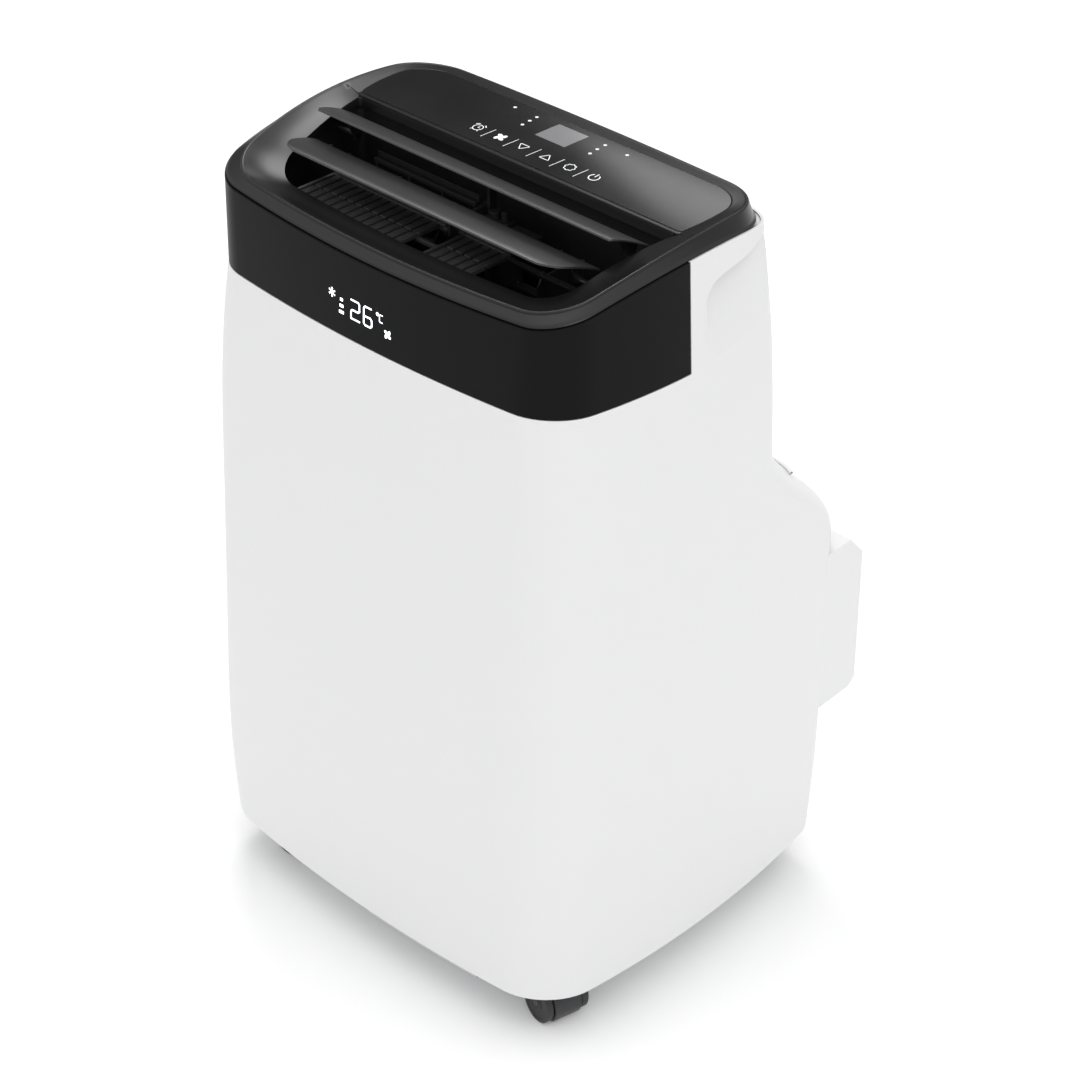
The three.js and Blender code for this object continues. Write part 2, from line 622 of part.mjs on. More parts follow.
// swivel axis x, y and the way the wheels trail from it, in degrees round from -Y
const CASTERS = {
  front_right: [167, -145, 78],
  front_left: [-172, -148, 90],
  rear_right: [140, 138, 84],
  rear_left: [-145, 138, 96],
};
const casterSockets = Object.values(CASTERS).map(([x, y]) => [x, y]);
const panSpec = bodySpec(CABINET_BOTTOM);
const sumpBlank = loft([
  ring(panSpec, PAN_INSET + 2, level(SUMP_BOTTOM)),
  ring(panSpec, PAN_INSET, level(SUMP_BOTTOM + 2)),
  ring(panSpec, PAN_INSET, level(PAN_BOTTOM + 1)),
]);
place('base_pan', cut(
  join(
    cut(
      loft([ring(panSpec, PAN_INSET, level(PAN_BOTTOM)), ring(panSpec, PAN_INSET, level(PAN_TOP))]),
      loft([
        ring(panSpec, PAN_INSET + PAN_FLOOR, level(PAN_BOTTOM + PAN_FLOOR)),
        ring(panSpec, PAN_INSET + PAN_FLOOR, level(PAN_TOP + 1)),
      ]),
    ),
    sumpBlank.intersect(box(2, 136, -300, -120, 0, 100)),
    sumpBlank.intersect(box(160, 300, -90, -20, SUMP_BOTTOM + 1.5, 100)),
    ...casterSockets.map((spot) => rod('z', 10, PAN_BOTTOM + 1, PAN_TOP - 6, spot, 8)),
  ),
  ...casterSockets.map((spot) => rod('z', 5.8, PAN_BOTTOM - 2, PAN_TOP - 9, spot, 8)),
  rod('y', 9, 150, 230, [0, 70], 12),
), GREY());

const WHEEL_WIDTH = 8;
const WHEEL_OFFSET = 18.4;
const HOOD_HALF = 14;
const HOOD_RADIUS = 21.5;
const TRAIL = 13;

function casterHood() {
  const axle = [-TRAIL, AXLE_Z];
  const drum = cut(
    rod('x', HOOD_RADIUS, -HOOD_HALF, HOOD_HALF, axle, 16),
    box(-HOOD_HALF - 1, HOOD_HALF + 1, -TRAIL - 30, TRAIL, -10, 3),
  );
  return join(
    drum,
    box(-HOOD_HALF, HOOD_HALF, -TRAIL, 9, 24, AXLE_Z + HOOD_RADIUS - 0.5),
    rod('z', 9, AXLE_Z, PAN_BOTTOM - GAP, [0, 0], 12),
    rod('z', 5, AXLE_Z, PAN_TOP - 10, [0, 0], 8),
    rod('x', 4, -WHEEL_OFFSET - WHEEL_WIDTH / 2, WHEEL_OFFSET + WHEEL_WIDTH / 2, axle, 8),
  );
}

function casterWheel(side) {
  const half = WHEEL_WIDTH / 2;
  const profile = [[4.5, -half], [WHEEL_RADIUS, -half], [WHEEL_RADIUS, half], [4.5, half], [4.5, -half]];
  const geometry = new THREE.LatheGeometry(profile.map(([r, h]) => new THREE.Vector2(r, h)), WHEEL_SIDES);
  geometry.rotateY(Math.PI / WHEEL_SIDES);
  geometry.rotateZ(Math.PI / 2);
  geometry.translate(side * WHEEL_OFFSET, -TRAIL, AXLE_Z);
  return toSolid(geometry);
}

for (const [corner, [x, y, heading]] of Object.entries(CASTERS)) {
  const caster = new THREE.Group();
  caster.position.set(x, y, 0);
  caster.rotation.z = THREE.MathUtils.degToRad(heading);
  unit.add(caster);
  place(`caster_hood_${corner}`, casterHood(), BLACK(), caster);
  place(`wheel_outer_${corner}`, casterWheel(Math.sign(y)), RUBBER(), caster);
  place(`wheel_inner_${corner}`, casterWheel(-Math.sign(y)), RUBBER(), caster);
}

// ---- cooling circuit ----
const deckSpec = bodySpec(DECK_Z);
place('partition_deck', cut(
  loft([ring(deckSpec, WALL + 1, level(DECK_Z)), ring(deckSpec, WALL + 1, level(DECK_Z + 3))]),
  box(-30, 30, -175, -150, DECK_Z - 2, DECK_Z + 6),
), GREY());

const compressorProfile = [[0, 62.5], [46, 62.5], [58, 72], [58, 235], [50, 258], [30, 268], [0, 270]];
const compressorBody = new THREE.LatheGeometry(compressorProfile.map(([r, z]) => new THREE.Vector2(r, z)), 14);
compressorBody.rotateX(Math.PI / 2);
compressorBody.translate(-115, -70, 0);
const COMPRESSOR_FEET = [[-175, -70], [-85, -122], [-85, -18]];
place('compressor', join(
  toSolid(compressorBody),
  ...COMPRESSOR_FEET.map(([x, y]) => rod('z', 14, PAN_BOTTOM + 3.3, 68, [x, y], 8)),
  box(-175, -115, -78, -62, 62, 67),
  box(-92, -78, -122, -18, 62, 67),
), BLACK());

function coil(x0, x1, y0, y1, z0, z1) {
  const bends = [];
  for (let z = z0 + 18; z < z1 - 20; z += 60) {
    bends.push(box(x1 - 2, x1 + 9, y0 + 6, y0 + 13, z, z + 20));
    bends.push(box(x0 - 9, x0 + 2, y0 + 6, y0 + 13, z, z + 20));
  }
  return join(box(x0, x1, y0, y1, z0, z1), ...bends);
}
place('evaporator_coil', coil(-150, 150, 46, 78, 420, 700), STEEL());
place('condenser_coil', coil(-150, 150, 136, 168, 75, 186), STEEL());

function fanWheel(spec) {
  const blades = [];
  const count = 9;
  for (let i = 0; i < count; i++) {
    const geometry = new THREE.BoxGeometry(3, spec.width - 4, 22);
    geometry.rotateY(0.5);
    geometry.translate(0, 0, spec.radius - 12);
    geometry.rotateY(i * 2 * Math.PI / count);
    geometry.translate(spec.x, spec.y, spec.z);
    blades.push(toSolid(geometry));
  }
  const half = spec.width / 2;
  const centre = [spec.x, spec.z];
  const rim = cut(
    rod('y', spec.radius, spec.y + half - 5, spec.y + half, centre, 20),
    rod('y', spec.radius - 20, spec.y + half - 6, spec.y + half + 1, centre, 20),
  );
  const back = rod('y', spec.radius, spec.y - half, spec.y - half + 3, centre, 20);
  const hub = rod('y', 12, spec.y - half, spec.y, centre, 12);
  const bore = rod('y', 4.4, spec.y - half - 1, spec.y + 1, centre, 12);
  return cut(join(rim, back, hub, ...blades), bore);
}

function scroll(spec, outlet, ...openings) {
  const centre = [spec.x, spec.z];
  const y0 = spec.y - spec.width / 2 - 8;
  const y1 = spec.y + spec.width / 2 + 8;
  const outer = join(
    rod('y', spec.radius + 14, y0, y1, centre, 20),
    box(spec.x + outlet.x0, spec.x + outlet.x1, y0, y1, spec.z + outlet.z0, spec.z + outlet.z1),
  );
  const inner = join(
    rod('y', spec.radius + 12, y0 + 2, y1 - 2, centre, 20),
    box(
      spec.x + outlet.x0 + 2,
      spec.x + outlet.x1 - 2,
      y0 + 2,
      y1 - 2,
      spec.z + outlet.z0 + outlet.open[0],
      spec.z + outlet.z1 + outlet.open[1],
    ),
  );
  return cut(
    outer,
    inner,
    rod('y', spec.radius - 16, y1 - 5, y1 + 5, centre, 20),
    rod('y', 9, y0 - 5, y0 + 5, centre, 12),
    ...openings,
  );
}

function motor(spec, radius, length) {
  const y1 = spec.y - spec.width / 2 - 8 - GAP;
  const centre = [spec.x, spec.z];
  return join(
    rod('y', radius, y1 - length, y1, centre, 20),
    rod('y', 4, y1 - 5, spec.y - 2, centre, 12),
  );
}
place('blower_wheel', fanWheel(BLOWER), BLACK());
place('blower_scroll', scroll(BLOWER, { x0: -104, x1: 104, z0: 0, z1: 120, open: [0, 3] }), BLACK());
place('blower_motor', motor(BLOWER, 38, 48), STEEL());
place('condenser_fan', fanWheel(CONDENSER_FAN), BLACK());
place('condenser_scroll', scroll(
  CONDENSER_FAN,
  { x0: -65, x1: 65, z0: 0, z1: 166, open: [0, -2] },
  exhaustRod(EXHAUST_RADIUS - 3, FAN_CASE_REAR - 5, FAN_CASE_REAR + 5),
), GREY());
place('condenser_motor', motor(CONDENSER_FAN, 36, 46), STEEL());

place('electronics_box', cut(
  box(112, 176, -150, -60, 400, 560),
  box(115, 180, -147, -63, 403, 557),
), GREY());

function pipe(points, radius) {
  const path = new THREE.CatmullRomCurve3(points.map((p) => new THREE.Vector3(...p)), false, 'catmullrom', 0.3);
  const section = new THREE.Shape();
  section.absarc(0, 0, radius, 0, 2 * Math.PI, false);
  return toSolid(new THREE.ExtrudeGeometry(section, {
    steps: 18,
    bevelEnabled: false,
    extrudePath: path,
    curveSegments: 3,
  }));
}
place('refrigerant_pipe', pipe([
  [-115, -70, 271],
  [-115, -70, 300],
  [-150, -60, 320],
  [-176, -20, 322],
  [-184, 60, 320],
  [-184, 130, 300],
  [-182, 152, 240],
  [-166, 153, 180],
], 4), COPPER());

export default unit;
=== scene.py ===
import math

import bmesh
import bpy
from mathutils import Matrix, Vector


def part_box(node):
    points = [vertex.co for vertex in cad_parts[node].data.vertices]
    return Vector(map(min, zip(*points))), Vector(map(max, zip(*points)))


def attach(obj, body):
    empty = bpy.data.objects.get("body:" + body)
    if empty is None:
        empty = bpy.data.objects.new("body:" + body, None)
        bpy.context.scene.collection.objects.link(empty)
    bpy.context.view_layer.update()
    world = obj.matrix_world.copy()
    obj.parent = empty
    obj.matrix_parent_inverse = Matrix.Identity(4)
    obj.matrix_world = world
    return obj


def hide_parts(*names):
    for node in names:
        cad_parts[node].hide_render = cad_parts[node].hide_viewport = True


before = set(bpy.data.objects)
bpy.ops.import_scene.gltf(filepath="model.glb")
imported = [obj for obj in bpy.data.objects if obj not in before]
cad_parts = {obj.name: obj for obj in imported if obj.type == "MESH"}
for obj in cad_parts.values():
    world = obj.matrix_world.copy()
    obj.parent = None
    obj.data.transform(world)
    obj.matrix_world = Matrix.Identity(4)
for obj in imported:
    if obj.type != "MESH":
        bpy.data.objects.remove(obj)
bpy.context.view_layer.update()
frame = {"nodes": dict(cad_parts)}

bl_info = {
    "name": "Portable air conditioner",
    "version": (1, 0, 0),
    "blender": (4, 5, 0),
    "location": "3D View > Sidebar > Air conditioner",
    "description": "Builds a portable air conditioner on casters over its packed frame",
    "category": "Object",
}

MM = 0.001
UNIT = "main_unit"

# ---------------------------------------------------------------- outlines, in millimetres
SEAM_Y = -38.5
BAND_BOTTOM = 627.0
CABINET_BOTTOM = 52.0
SPLIT_Z = 455.0
PANEL_HALF = 178.0
WINDOW_TOP = 712.0
SKIN_INSET = 0.5
HALF_GAP = 0.2
TOP_REF_Y = -43.0
INTAKE_HALF = 140
UPPER_INTAKE, LOWER_INTAKE = (510, 690), (88, 180)
COLLAR_Z = 264
UPPER_DRAIN, LOWER_DRAIN, CORD_AT = (-120, 384), (0, 70), (155, 120)
SHARP_ANGLE = math.radians(38)
CUT_REACH = 0.02

SHOULDER = dict(wf=204, yf=-175, wr=201, yr=84, bf=14, bs=14.2, br=5.3, rf=36, rr=35)
FRAME_FOOT = dict(SHOULDER, yr=83.5, rr=48)
CREST = dict(wf=194, yf=-165.9, wr=196.5, yr=73.4, bf=12.1, bs=12, br=6.6, rf=37, rr=41)
VENT = dict(wf=164.5, yf=-139.4, wr=184.5, yr=-21.4, bf=6, bs=0.5, br=0, rf=27.6, rr=5)
DECK = dict(wf=187, yf=-20.8, wr=184.4, yr=60.6, bf=0, bs=4.5, br=1.6, rf=2, rr=30)
TOUCH = dict(wf=186.4, yf=-17.7, wr=183.2, yr=59.4, bf=0, bs=4.5, br=1.6, rf=3, rr=29.3)


def lerp(a, b, t):
    return a + (b - a) * t


def smooth(t):
    t = min(1.0, max(0.0, t))
    return t * t * (3 - 2 * t)


def arched(base, slope, curve):
    return lambda y: base + slope * (y - TOP_REF_Y) - curve * (y - TOP_REF_Y) ** 2


crest_z = arched(737.4, 0.086, 0.00093)
deck_z = arched(731.1, 0.137, 0.0009)
shoulder_z = arched(725.6, 0.035, 0.00095)
vent_z = arched(730.5, 0.1035, 0.00157)


def bowed(p, q, sag):
    """A side of a plan outline: its point and its direction at t."""
    run = q - p
    out = Vector((run.y, -run.x)).normalized()

    def at(t):
        return p + run * t + out * (4 * sag * t * (1 - t))

    def along(t):
        return run + out * (4 * sag * (1 - 2 * t))

    return at, along, run.length


def corner(first, t1, second, t2, steps):
    p, q = first[0](t1), second[0](t2)
    dp, dq = first[1](t1), second[1](t2)
    reach = (q - p).cross(dq) / dp.cross(dq)
    knee = p + dp * reach
    a, b = p.lerp(knee, 0.56), q.lerp(knee, 0.56)
    made = []
    for i in range(steps + 1):
        t = i / steps
        made.append(p * (1 - t) ** 3 + a * 3 * t * (1 - t) ** 2 + b * 3 * t * t * (1 - t) + q * t**3)
    return made


COUNTS = dict(front=14, nose=12, side=(22, 22), heel=16, rear=10)


def plan(spec, inset=0.0, notch=None, parts=False):
    """Plan outline as a ring of points from the middle of the front, round the +X side."""
    s = spec
    fw, fy = s["wf"] - inset, s["yf"] + inset
    rw, ry = s["wr"] - inset, s["yr"] - inset
    front = bowed(Vector((-fw, fy)), Vector((fw, fy)), s["bf"])
    side = bowed(Vector((fw, fy)), Vector((rw, ry)), s["bs"])
    rear = bowed(Vector((rw, ry)), Vector((-rw, ry)), s["br"])
    rf, rr = max(s["rf"] - inset, 2), max(s["rr"] - inset, 2)
    f_end = 1 - rf / front[2]
    s_start, s_end = rf / side[2], 1 - rr / side[2]
    r_start = rr / rear[2]
    n_a, n_b = COUNTS["side"]
    if notch:
        mid_a, mid_b = [(y - fy) / (ry - fy) for y in notch]
        ts = [lerp(s_start, mid_a, (i + 1) / n_a) for i in range(n_a)]
        ts += [lerp(mid_b, s_end, i / n_b) for i in range(n_b)]
    else:
        n = n_a + n_b + 1
        ts = [lerp(s_start, s_end, i / n) for i in range(1, n)]
    ahead = [front[0](lerp(0.5, f_end, i / COUNTS["front"])) for i in range(COUNTS["front"])]
    ahead += corner(front, f_end, side, s_start, COUNTS["nose"])
    flank = [side[0](t) for t in ts]
    back = corner(side, s_end, rear, r_start, COUNTS["heel"])
    back += [rear[0](lerp(r_start, 0.5, i / COUNTS["rear"])) for i in range(1, COUNTS["rear"] + 1)]
    if parts:
        return ahead, flank, back
    return mirrored(ahead + flank + back)


def mirrored(half):
    half[0].x = half[-1].x = 0.0
    return half + [Vector((-v.x, v.y)) for v in reversed(half[1:-1])]


def lifted(outline, height, by=0.0):
    """The outline at a height that follows y, and a constant above it."""
    return [Vector((v.x, v.y, height(v.y) + by)) for v in outline]


def level(outline, z):
    return [Vector((v.x, v.y, z)) for v in outline]


def bend(a, knee, b, t):
    """A point of the curve that leaves a toward the knee and reaches b from it."""
    return a * (1 - t) ** 2 + knee * 2 * t * (1 - t) + b * t * t


# ---------------------------------------------------------------- cabinet sections
WALL_FOOT, BULGE_Z, BULGE_Y = 500.0, 375.0, 183.0


def swell(z):
    if z > 450:
        return 6.1 * (1 - ((z - 450) / (BAND_BOTTOM - 450)) ** 2.6)
    if z < 200:
        return 6.1 * (1 - ((200 - z) / (200 - CABINET_BOTTOM)) ** 2)
    return 6.1


def rear_y(z):
    if z >= WALL_FOOT:
        return lerp(94, 90, (z - WALL_FOOT) / (BAND_BOTTOM - WALL_FOOT))
    if z <= BULGE_Z:
        return lerp(BULGE_Y, 180, (BULGE_Z - z) / (BULGE_Z - CABINET_BOTTOM))
    turn = (WALL_FOOT - z) / (WALL_FOOT - BULGE_Z) * math.pi / 2
    return 94 + (BULGE_Y - 94) * math.sin(turn) ** 1.8


def body_spec(z):
    t = (BAND_BOTTOM - z) / (BAND_BOTTOM - CABINET_BOTTOM)
    out = swell(z)
    return dict(
        wf=lerp(202.2, 217.2, t) + out,
        yf=lerp(-178.6, -198.1, t) - out,
        wr=lerp(208, 204, min(1, 1.7 * t)) + out,
        yr=rear_y(z),
        bf=lerp(14.3, 15.7, t),
        bs=lerp(16, 17.9, t),
        br=5.3,
        rf=lerp(39, 48, t),
        rr=33,
    )


def body_levels():
    low = [52, 54, 58, 66, 80, 100, 125, 150, 175, 200, 240, 280, 320, 350, 366]
    dome = [375 + 4.8 * i for i in range(27)]
    high = [508, 525, 545, 565, 585, 605, 618, 627]
    return low + dome + high


GRIP_FRONT, GRIP_REAR = -22.0, 84.0


def along(table, y):
    """Straight steps between the (y, value) pairs of a table."""
    if y <= table[0][0]:
        return table[0][1]
    for (a, low), (b, high) in zip(table, table[1:]):
        if y <= b:
            return lerp(low, high, (y - a) / (b - a))
    return table[-1][1]


GRIP_FOOT = ((-21, 630), (-16, 630), (20, 635), (47, 646), (54, 653), (64, 668), (72, 690), (78, 705))
GRIP_LIP = ((-21, 684), (-17, 692), (-11, 697), (0, 700), (20, 702), (39, 704), (50, 708), (78, 712))
GRIP_DEPTH = ((-22, 0), (-15, 9), (-5, 16), (10, 18), (30, 16), (45, 12.5), (60, 9), (72, 5), (84, 0))


# ---------------------------------------------------------------- mesh helpers
def stack(bm, rings):
    """A shell through closed rings of points, in millimetres."""
    start = bmesh.ops.create_circle(bm, cap_ends=False, segments=len(rings[0]), radius=1)
    loop = start["verts"]
    for vert, point in zip(loop, rings[0]):
        vert.co = point * MM
    count = len(loop)
    edges = list({e for v in loop for e in v.link_edges})
    for ring in rings[1:]:
        made = bmesh.ops.extrude_edge_only(bm, edges=edges)["geom"]
        fresh = [g for g in made if isinstance(g, bmesh.types.BMVert)]
        follow = {}
        for vert in fresh:
            for edge in vert.link_edges:
                other = edge.other_vert(vert)
                if other not in fresh:
                    follow[other] = vert
        loop = [follow[v] for v in loop]
        for vert, point in zip(loop, ring):
            vert.co = point * MM
        edges = [bm.edges.get((loop[i], loop[(i + 1) % count])) for i in range(count)]


def carve(bm, planes, keep=False):
    """Cuts along planes of (point, outward normal); deletes what is inside them all, or outside if keep."""
    planes = [(Vector(p) * MM, Vector(n).normalized()) for p, n in planes]
    for point, normal in planes:
        middles = [(f, f.calc_center_median()) for f in bm.faces]
        near = [f for f, middle in middles if all((middle - p).dot(n) < CUT_REACH for p, n in planes)]
        geom = set(near)
        for face in near:
            geom.update(face.edges)
            geom.update(face.verts)
        bmesh.ops.bisect_plane(bm, geom=list(geom), dist=1e-6, plane_co=point, plane_no=normal)
    inside = [f for f in bm.faces if all((f.calc_center_median() - p).dot(n) < 0 for p, n in planes)]
    chosen = set(inside)
    drop = [f for f in bm.faces if f not in chosen] if keep else inside
    bmesh.ops.delete(bm, geom=drop, context="FACES")


def block_planes(x0, x1, y0, y1, z0, z1):
    planes = [((x0, 0, 0), (-1, 0, 0)), ((x1, 0, 0), (1, 0, 0))]
    planes += [((0, y0, 0), (0, -1, 0)), ((0, y1, 0), (0, 1, 0))]
    return planes + [((0, 0, z0), (0, 0, -1)), ((0, 0, z1), (0, 0, 1))]


def bore_planes(x, z, radius, y0, y1, sides=24):
    around = []
    for i in range(sides):
        a = 2 * math.pi * i / sides
        normal = Vector((math.cos(a), 0, math.sin(a)))
        around.append((Vector((x, 0, z)) + normal * radius, normal))
    return around + [((0, y0, 0), (0, -1, 0)), ((0, y1, 0), (0, 1, 0))]


def slab(bm, points, low, high):
    """A flat outline of (y, z) points given thickness along X."""
    face = bm.faces.new([bm.verts.new(Vector((low, y, z)) * MM) for y, z in points])
    made = bmesh.ops.extrude_face_region(bm, geom=[face])["geom"]
    far = [g for g in made if isinstance(g, bmesh.types.BMVert)]
    bmesh.ops.translate(bm, vec=Vector((high - low, 0, 0)) * MM, verts=far)


def block(bm, x0, x1, y0, y1, z0, z1):
    size = Matrix.Diagonal(((x1 - x0) * MM, (y1 - y0) * MM, (z1 - z0) * MM, 1))
    spot = Matrix.Translation(Vector((x0 + x1, y0 + y1, z0 + z1)) * (MM / 2))
    bmesh.ops.create_cube(bm, size=1, matrix=spot @ size)


def rod(bm, axis, radius, low, high, centre, segments=24):
    """A cylinder along an axis from low to high, centred across it on a pair."""
    quarter = math.pi / 2
    turn = {"x": Matrix.Rotation(quarter, 4, "Y"), "y": Matrix.Rotation(quarter, 4, "X"), "z": Matrix()}
    middle = (low + high) / 2
    a, b = centre
    spot = Vector({"x": (middle, a, b), "y": (a, middle, b), "z": (a, b, middle)}[axis]) * MM
    size = dict(radius1=radius * MM, radius2=radius * MM, depth=(high - low) * MM)
    matrix = Matrix.Translation(spot) @ turn[axis]
    bmesh.ops.create_cone(bm, cap_ends=True, segments=segments, matrix=matrix, **size)


def turned(bm, profile, steps=48):
    """A closed profile of (radius, height) spun about Z; gives the new vertices."""
    known = set(bm.verts)
    verts = [bm.verts.new((r * MM, 0, h * MM)) for r, h in profile]
    edges = [bm.edges.new((verts[i], verts[(i + 1) % len(verts)])) for i in range(len(verts))]
    sweep = dict(cent=(0, 0, 0), axis=(0, 0, 1), angle=2 * math.pi, steps=steps, use_merge=True)
    bmesh.ops.spin(bm, geom=verts + edges, **sweep)
    return [v for v in bm.verts if v not in known]


def face_back(bm, x, z):
    """Turns a shape spun about Z so that its top faces the back, and centres it on x and z."""
    bmesh.ops.rotate(bm, verts=bm.verts, matrix=Matrix.Rotation(-math.pi / 2, 3, "X"))
    bmesh.ops.translate(bm, verts=bm.verts, vec=Vector((x, 0, z)) * MM)


def tidy_mesh(bm, outward=True):
    bmesh.ops.remove_doubles(bm, verts=bm.verts, dist=2e-6)
    if outward:
        bmesh.ops.recalc_face_normals(bm, faces=bm.faces)


SLOTS = {
    "white_shell": "white_plastic",
    "black_band": "black_plastic",
    "black_frame": "black_plastic",
    "caster_black": "black_plastic",
    "black_inside": "satin_black",
    "satin_blade": "satin_black",
    "grille_black": "satin_black",
    "touch_glass": "panel_gloss",
    "grey_window": "display_window",
    "grey_plastic": "grey_plastic",
    "soft_rubber": "rubber_black",
    "wheel_rubber": "wheel_black",
}


def piece(name, bm, look, body=UNIT, stands_for=(), slot=None, wall=0.0, bevel=0.0, segments=2, outward=True):
    """Makes the object, gives it its finish, and sets it on its body."""
    tidy_mesh(bm, outward)
    mesh = bpy.data.meshes.new(name)
    bm.to_mesh(mesh)
    bm.free()
    for polygon in mesh.polygons:
        polygon.use_smooth = True
    mesh.set_sharp_from_angle(angle=SHARP_ANGLE)
    obj = bpy.data.objects.new(name, mesh)
    bpy.context.scene.collection.objects.link(obj)
    mesh.materials.append(finish(look))
    if wall:
        solid = obj.modifiers.new("Wall", "SOLIDIFY")
        solid.thickness = wall * MM
        solid.offset = -1
        solid.use_even_offset = True
    if bevel:
        edge = obj.modifiers.new("Edges", "BEVEL")
        edge.width = bevel * MM
        edge.segments = segments
        edge.limit_method = "ANGLE"
        edge.angle_limit = SHARP_ANGLE
        edge.harden_normals = True
    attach(obj, body)
    slot = slot or SLOTS.get(look)
    if stands_for:
        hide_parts(*stands_for)


# ---------------------------------------------------------------- finishes
class Wire:
    """A shader value that takes part in Python arithmetic."""

    def __init__(self, shades, socket):
        self.shades = shades
        self.socket = socket

    def _math(self, operation, a, b):
        return self.shades.node("ShaderNodeMath", {"operation": operation}, {0: a, 1: b})

    def __add__(self, other):
        return self._math("ADD", self, other)

    def __sub__(self, other):
        return self._math("SUBTRACT", self, other)

    def __rsub__(self, other):
        return self._math("SUBTRACT", other, self)

    def __mul__(self, other):
        return self._math("MULTIPLY", self, other)

    __radd__ = __add__
    __rmul__ = __mul__


class Shades:
    """Makes the nodes of one node tree."""

    def __init__(self, tree):
        self.tree = tree

    def put(self, socket, value):
        if isinstance(value, Wire):
            self.tree.links.new(value.socket, socket)
        else:
            socket.default_value = value

    def node(self, kind, settings, sockets, output=0):
        made = self.tree.nodes.new(kind)
        for key, value in settings.items():
            setattr(made, key, value)
        for key, value in sockets.items():
            self.put(made.inputs[key], value)
        return Wire(self, made.outputs[output])


class Finish(Shades):
    """One procedural material on object coordinates."""

    def __init__(self, name):
        self.material = bpy.data.materials.new(name)
        self.material.use_nodes = True
        super().__init__(self.material.node_tree)
        self.shader = self.tree.nodes["Principled BSDF"]
        self.place = self.node("ShaderNodeTexCoord", {}, {}, "Object")

    def noise(self, scale, detail=2.0, rough=0.5, stretch=(1, 1, 1)):
        where = self.node("ShaderNodeMapping", {}, {"Vector": self.place, "Scale": stretch})
        sockets = {"Vector": where, "Scale": scale, "Detail": detail, "Roughness": rough}
        return self.node("ShaderNodeTexNoise", {}, sockets, "Fac")

    def threads(self, way, pitch_mm):
        """Even bands across X or Z, a pitch apart."""
        sockets = {"Vector": self.place, "Scale": 1000 / pitch_mm / 6.283, "Distortion": 0.0}
        return self.node("ShaderNodeTexWave", {"bands_direction": way}, sockets, "Fac")

    def mix(self, factor, a, b):
        sockets = {"Factor": factor, 6: (*a, 1), 7: (*b, 1)}
        return self.node("ShaderNodeMix", {"data_type": "RGBA"}, sockets, 2)

    def set(self, **sockets):
        for key, value in sockets.items():
            if isinstance(value, tuple):
                value = (*value, 1)
            self.put(self.shader.inputs[key.replace("_", " ")], value)

    def bump(self, height, strength, distance):
        sockets = {"Height": height, "Strength": strength, "Distance": distance}
        self.set(Normal=self.node("ShaderNodeBump", {}, sockets, "Normal"))


def shade(colour, factor):
    return tuple(min(1.0, c * factor) for c in colour)


def moulded(name, colour, rough, grain_mm=0.5, grain=0.1, mottle=0.04, coat=0.0, level=0.5):
    """Moulded plastic: fine grain, faint broad variation in tone and gloss."""
    f = Finish(name)
    fine = f.noise(1000 / grain_mm, 3.0, 0.6)
    broad = f.noise(9.0, 3.0, 0.55)
    f.set(
        Base_Color=f.mix(broad, shade(colour, 1 - mottle), shade(colour, 1 + mottle)),
        Roughness=(broad - 0.5) * 0.12 + (fine - 0.5) * 0.06 + rough,
        Coat_Weight=coat,
        Coat_Roughness=0.08,
        Specular_IOR_Level=level,
    )
    f.bump(fine, grain, 0.00012)
    return f.material


def finned(name, colour, pitch_mm):
    """A block of thin metal fins, seen edge on, with painted shade in the gaps between them."""
    f = Finish(name)
    waves = f.threads("X", pitch_mm)
    # the darker bands are painted shade in the gaps between the fins
    f.set(Base_Color=f.mix(waves, shade(colour, 0.35), colour), Metallic=0.9, Roughness=waves * 0.15 + 0.3)
    f.bump(waves, 0.6, 0.0006)
    return f.material


def metal(name, colour, rough, stretch):
    """Bare metal with a grain that may be drawn out along an axis."""
    f = Finish(name)
    grain = f.noise(400.0, 3.0, 0.6, stretch)
    f.set(Base_Color=f.mix(grain, shade(colour, 0.85), colour), Metallic=1.0)
    f.set(Roughness=grain * 0.18 + (rough - 0.09))
    f.bump(grain, 0.08, 0.0002)
    return f.material


def woven(name, colour, pitch_mm):
    """Filter mesh: two crossed sets of threads, with painted shade in the openings between them."""
    f = Finish(name)
    sockets = {0: f.threads("X", pitch_mm), 1: f.threads("Z", pitch_mm)}
    weave = f.node("ShaderNodeMath", {"operation": "MAXIMUM"}, sockets)
    # the openings between the threads are painted dark as shade seen through the mesh
    f.set(Base_Color=f.mix(weave, shade(colour, 0.25), colour), Roughness=0.75 - weave * 0.1)
    f.bump(weave, 0.8, 0.0005)
    return f.material


def lit(name, colour, strength):
    """Glowing marks with a trace of unevenness: lit display segments, and printed symbols given a faint
    painted glow.
    """
    f = Finish(name)
    uneven = f.noise(600.0)
    f.set(
        Base_Color=f.mix(uneven, shade(colour, 0.9), colour),
        Roughness=uneven * 0.1 + 0.35,
        Emission_Color=f.mix(uneven, shade(colour, 0.92), colour),
        Emission_Strength=strength,
    )
    return f.material


def paper(name, tone, glow):
    """Pale studio paper with a trace of fibre and a little light of its own."""
    f = Finish(name)
    f.set(
        Base_Color=f.mix(f.noise(40.0), (tone * 0.995,) * 3, (tone,) * 3),
        Roughness=0.9,
        Emission_Color=(1.0, 1.0, 1.0),
        Emission_Strength=glow,
    )
    return f.material


_made = {}


def finish(name):
    """The named finish, made once from the settings."""
    if name not in _made:
        _made[name] = FINISHES[name](name, bpy.context.scene.ac_finishes)
    return _made[name]


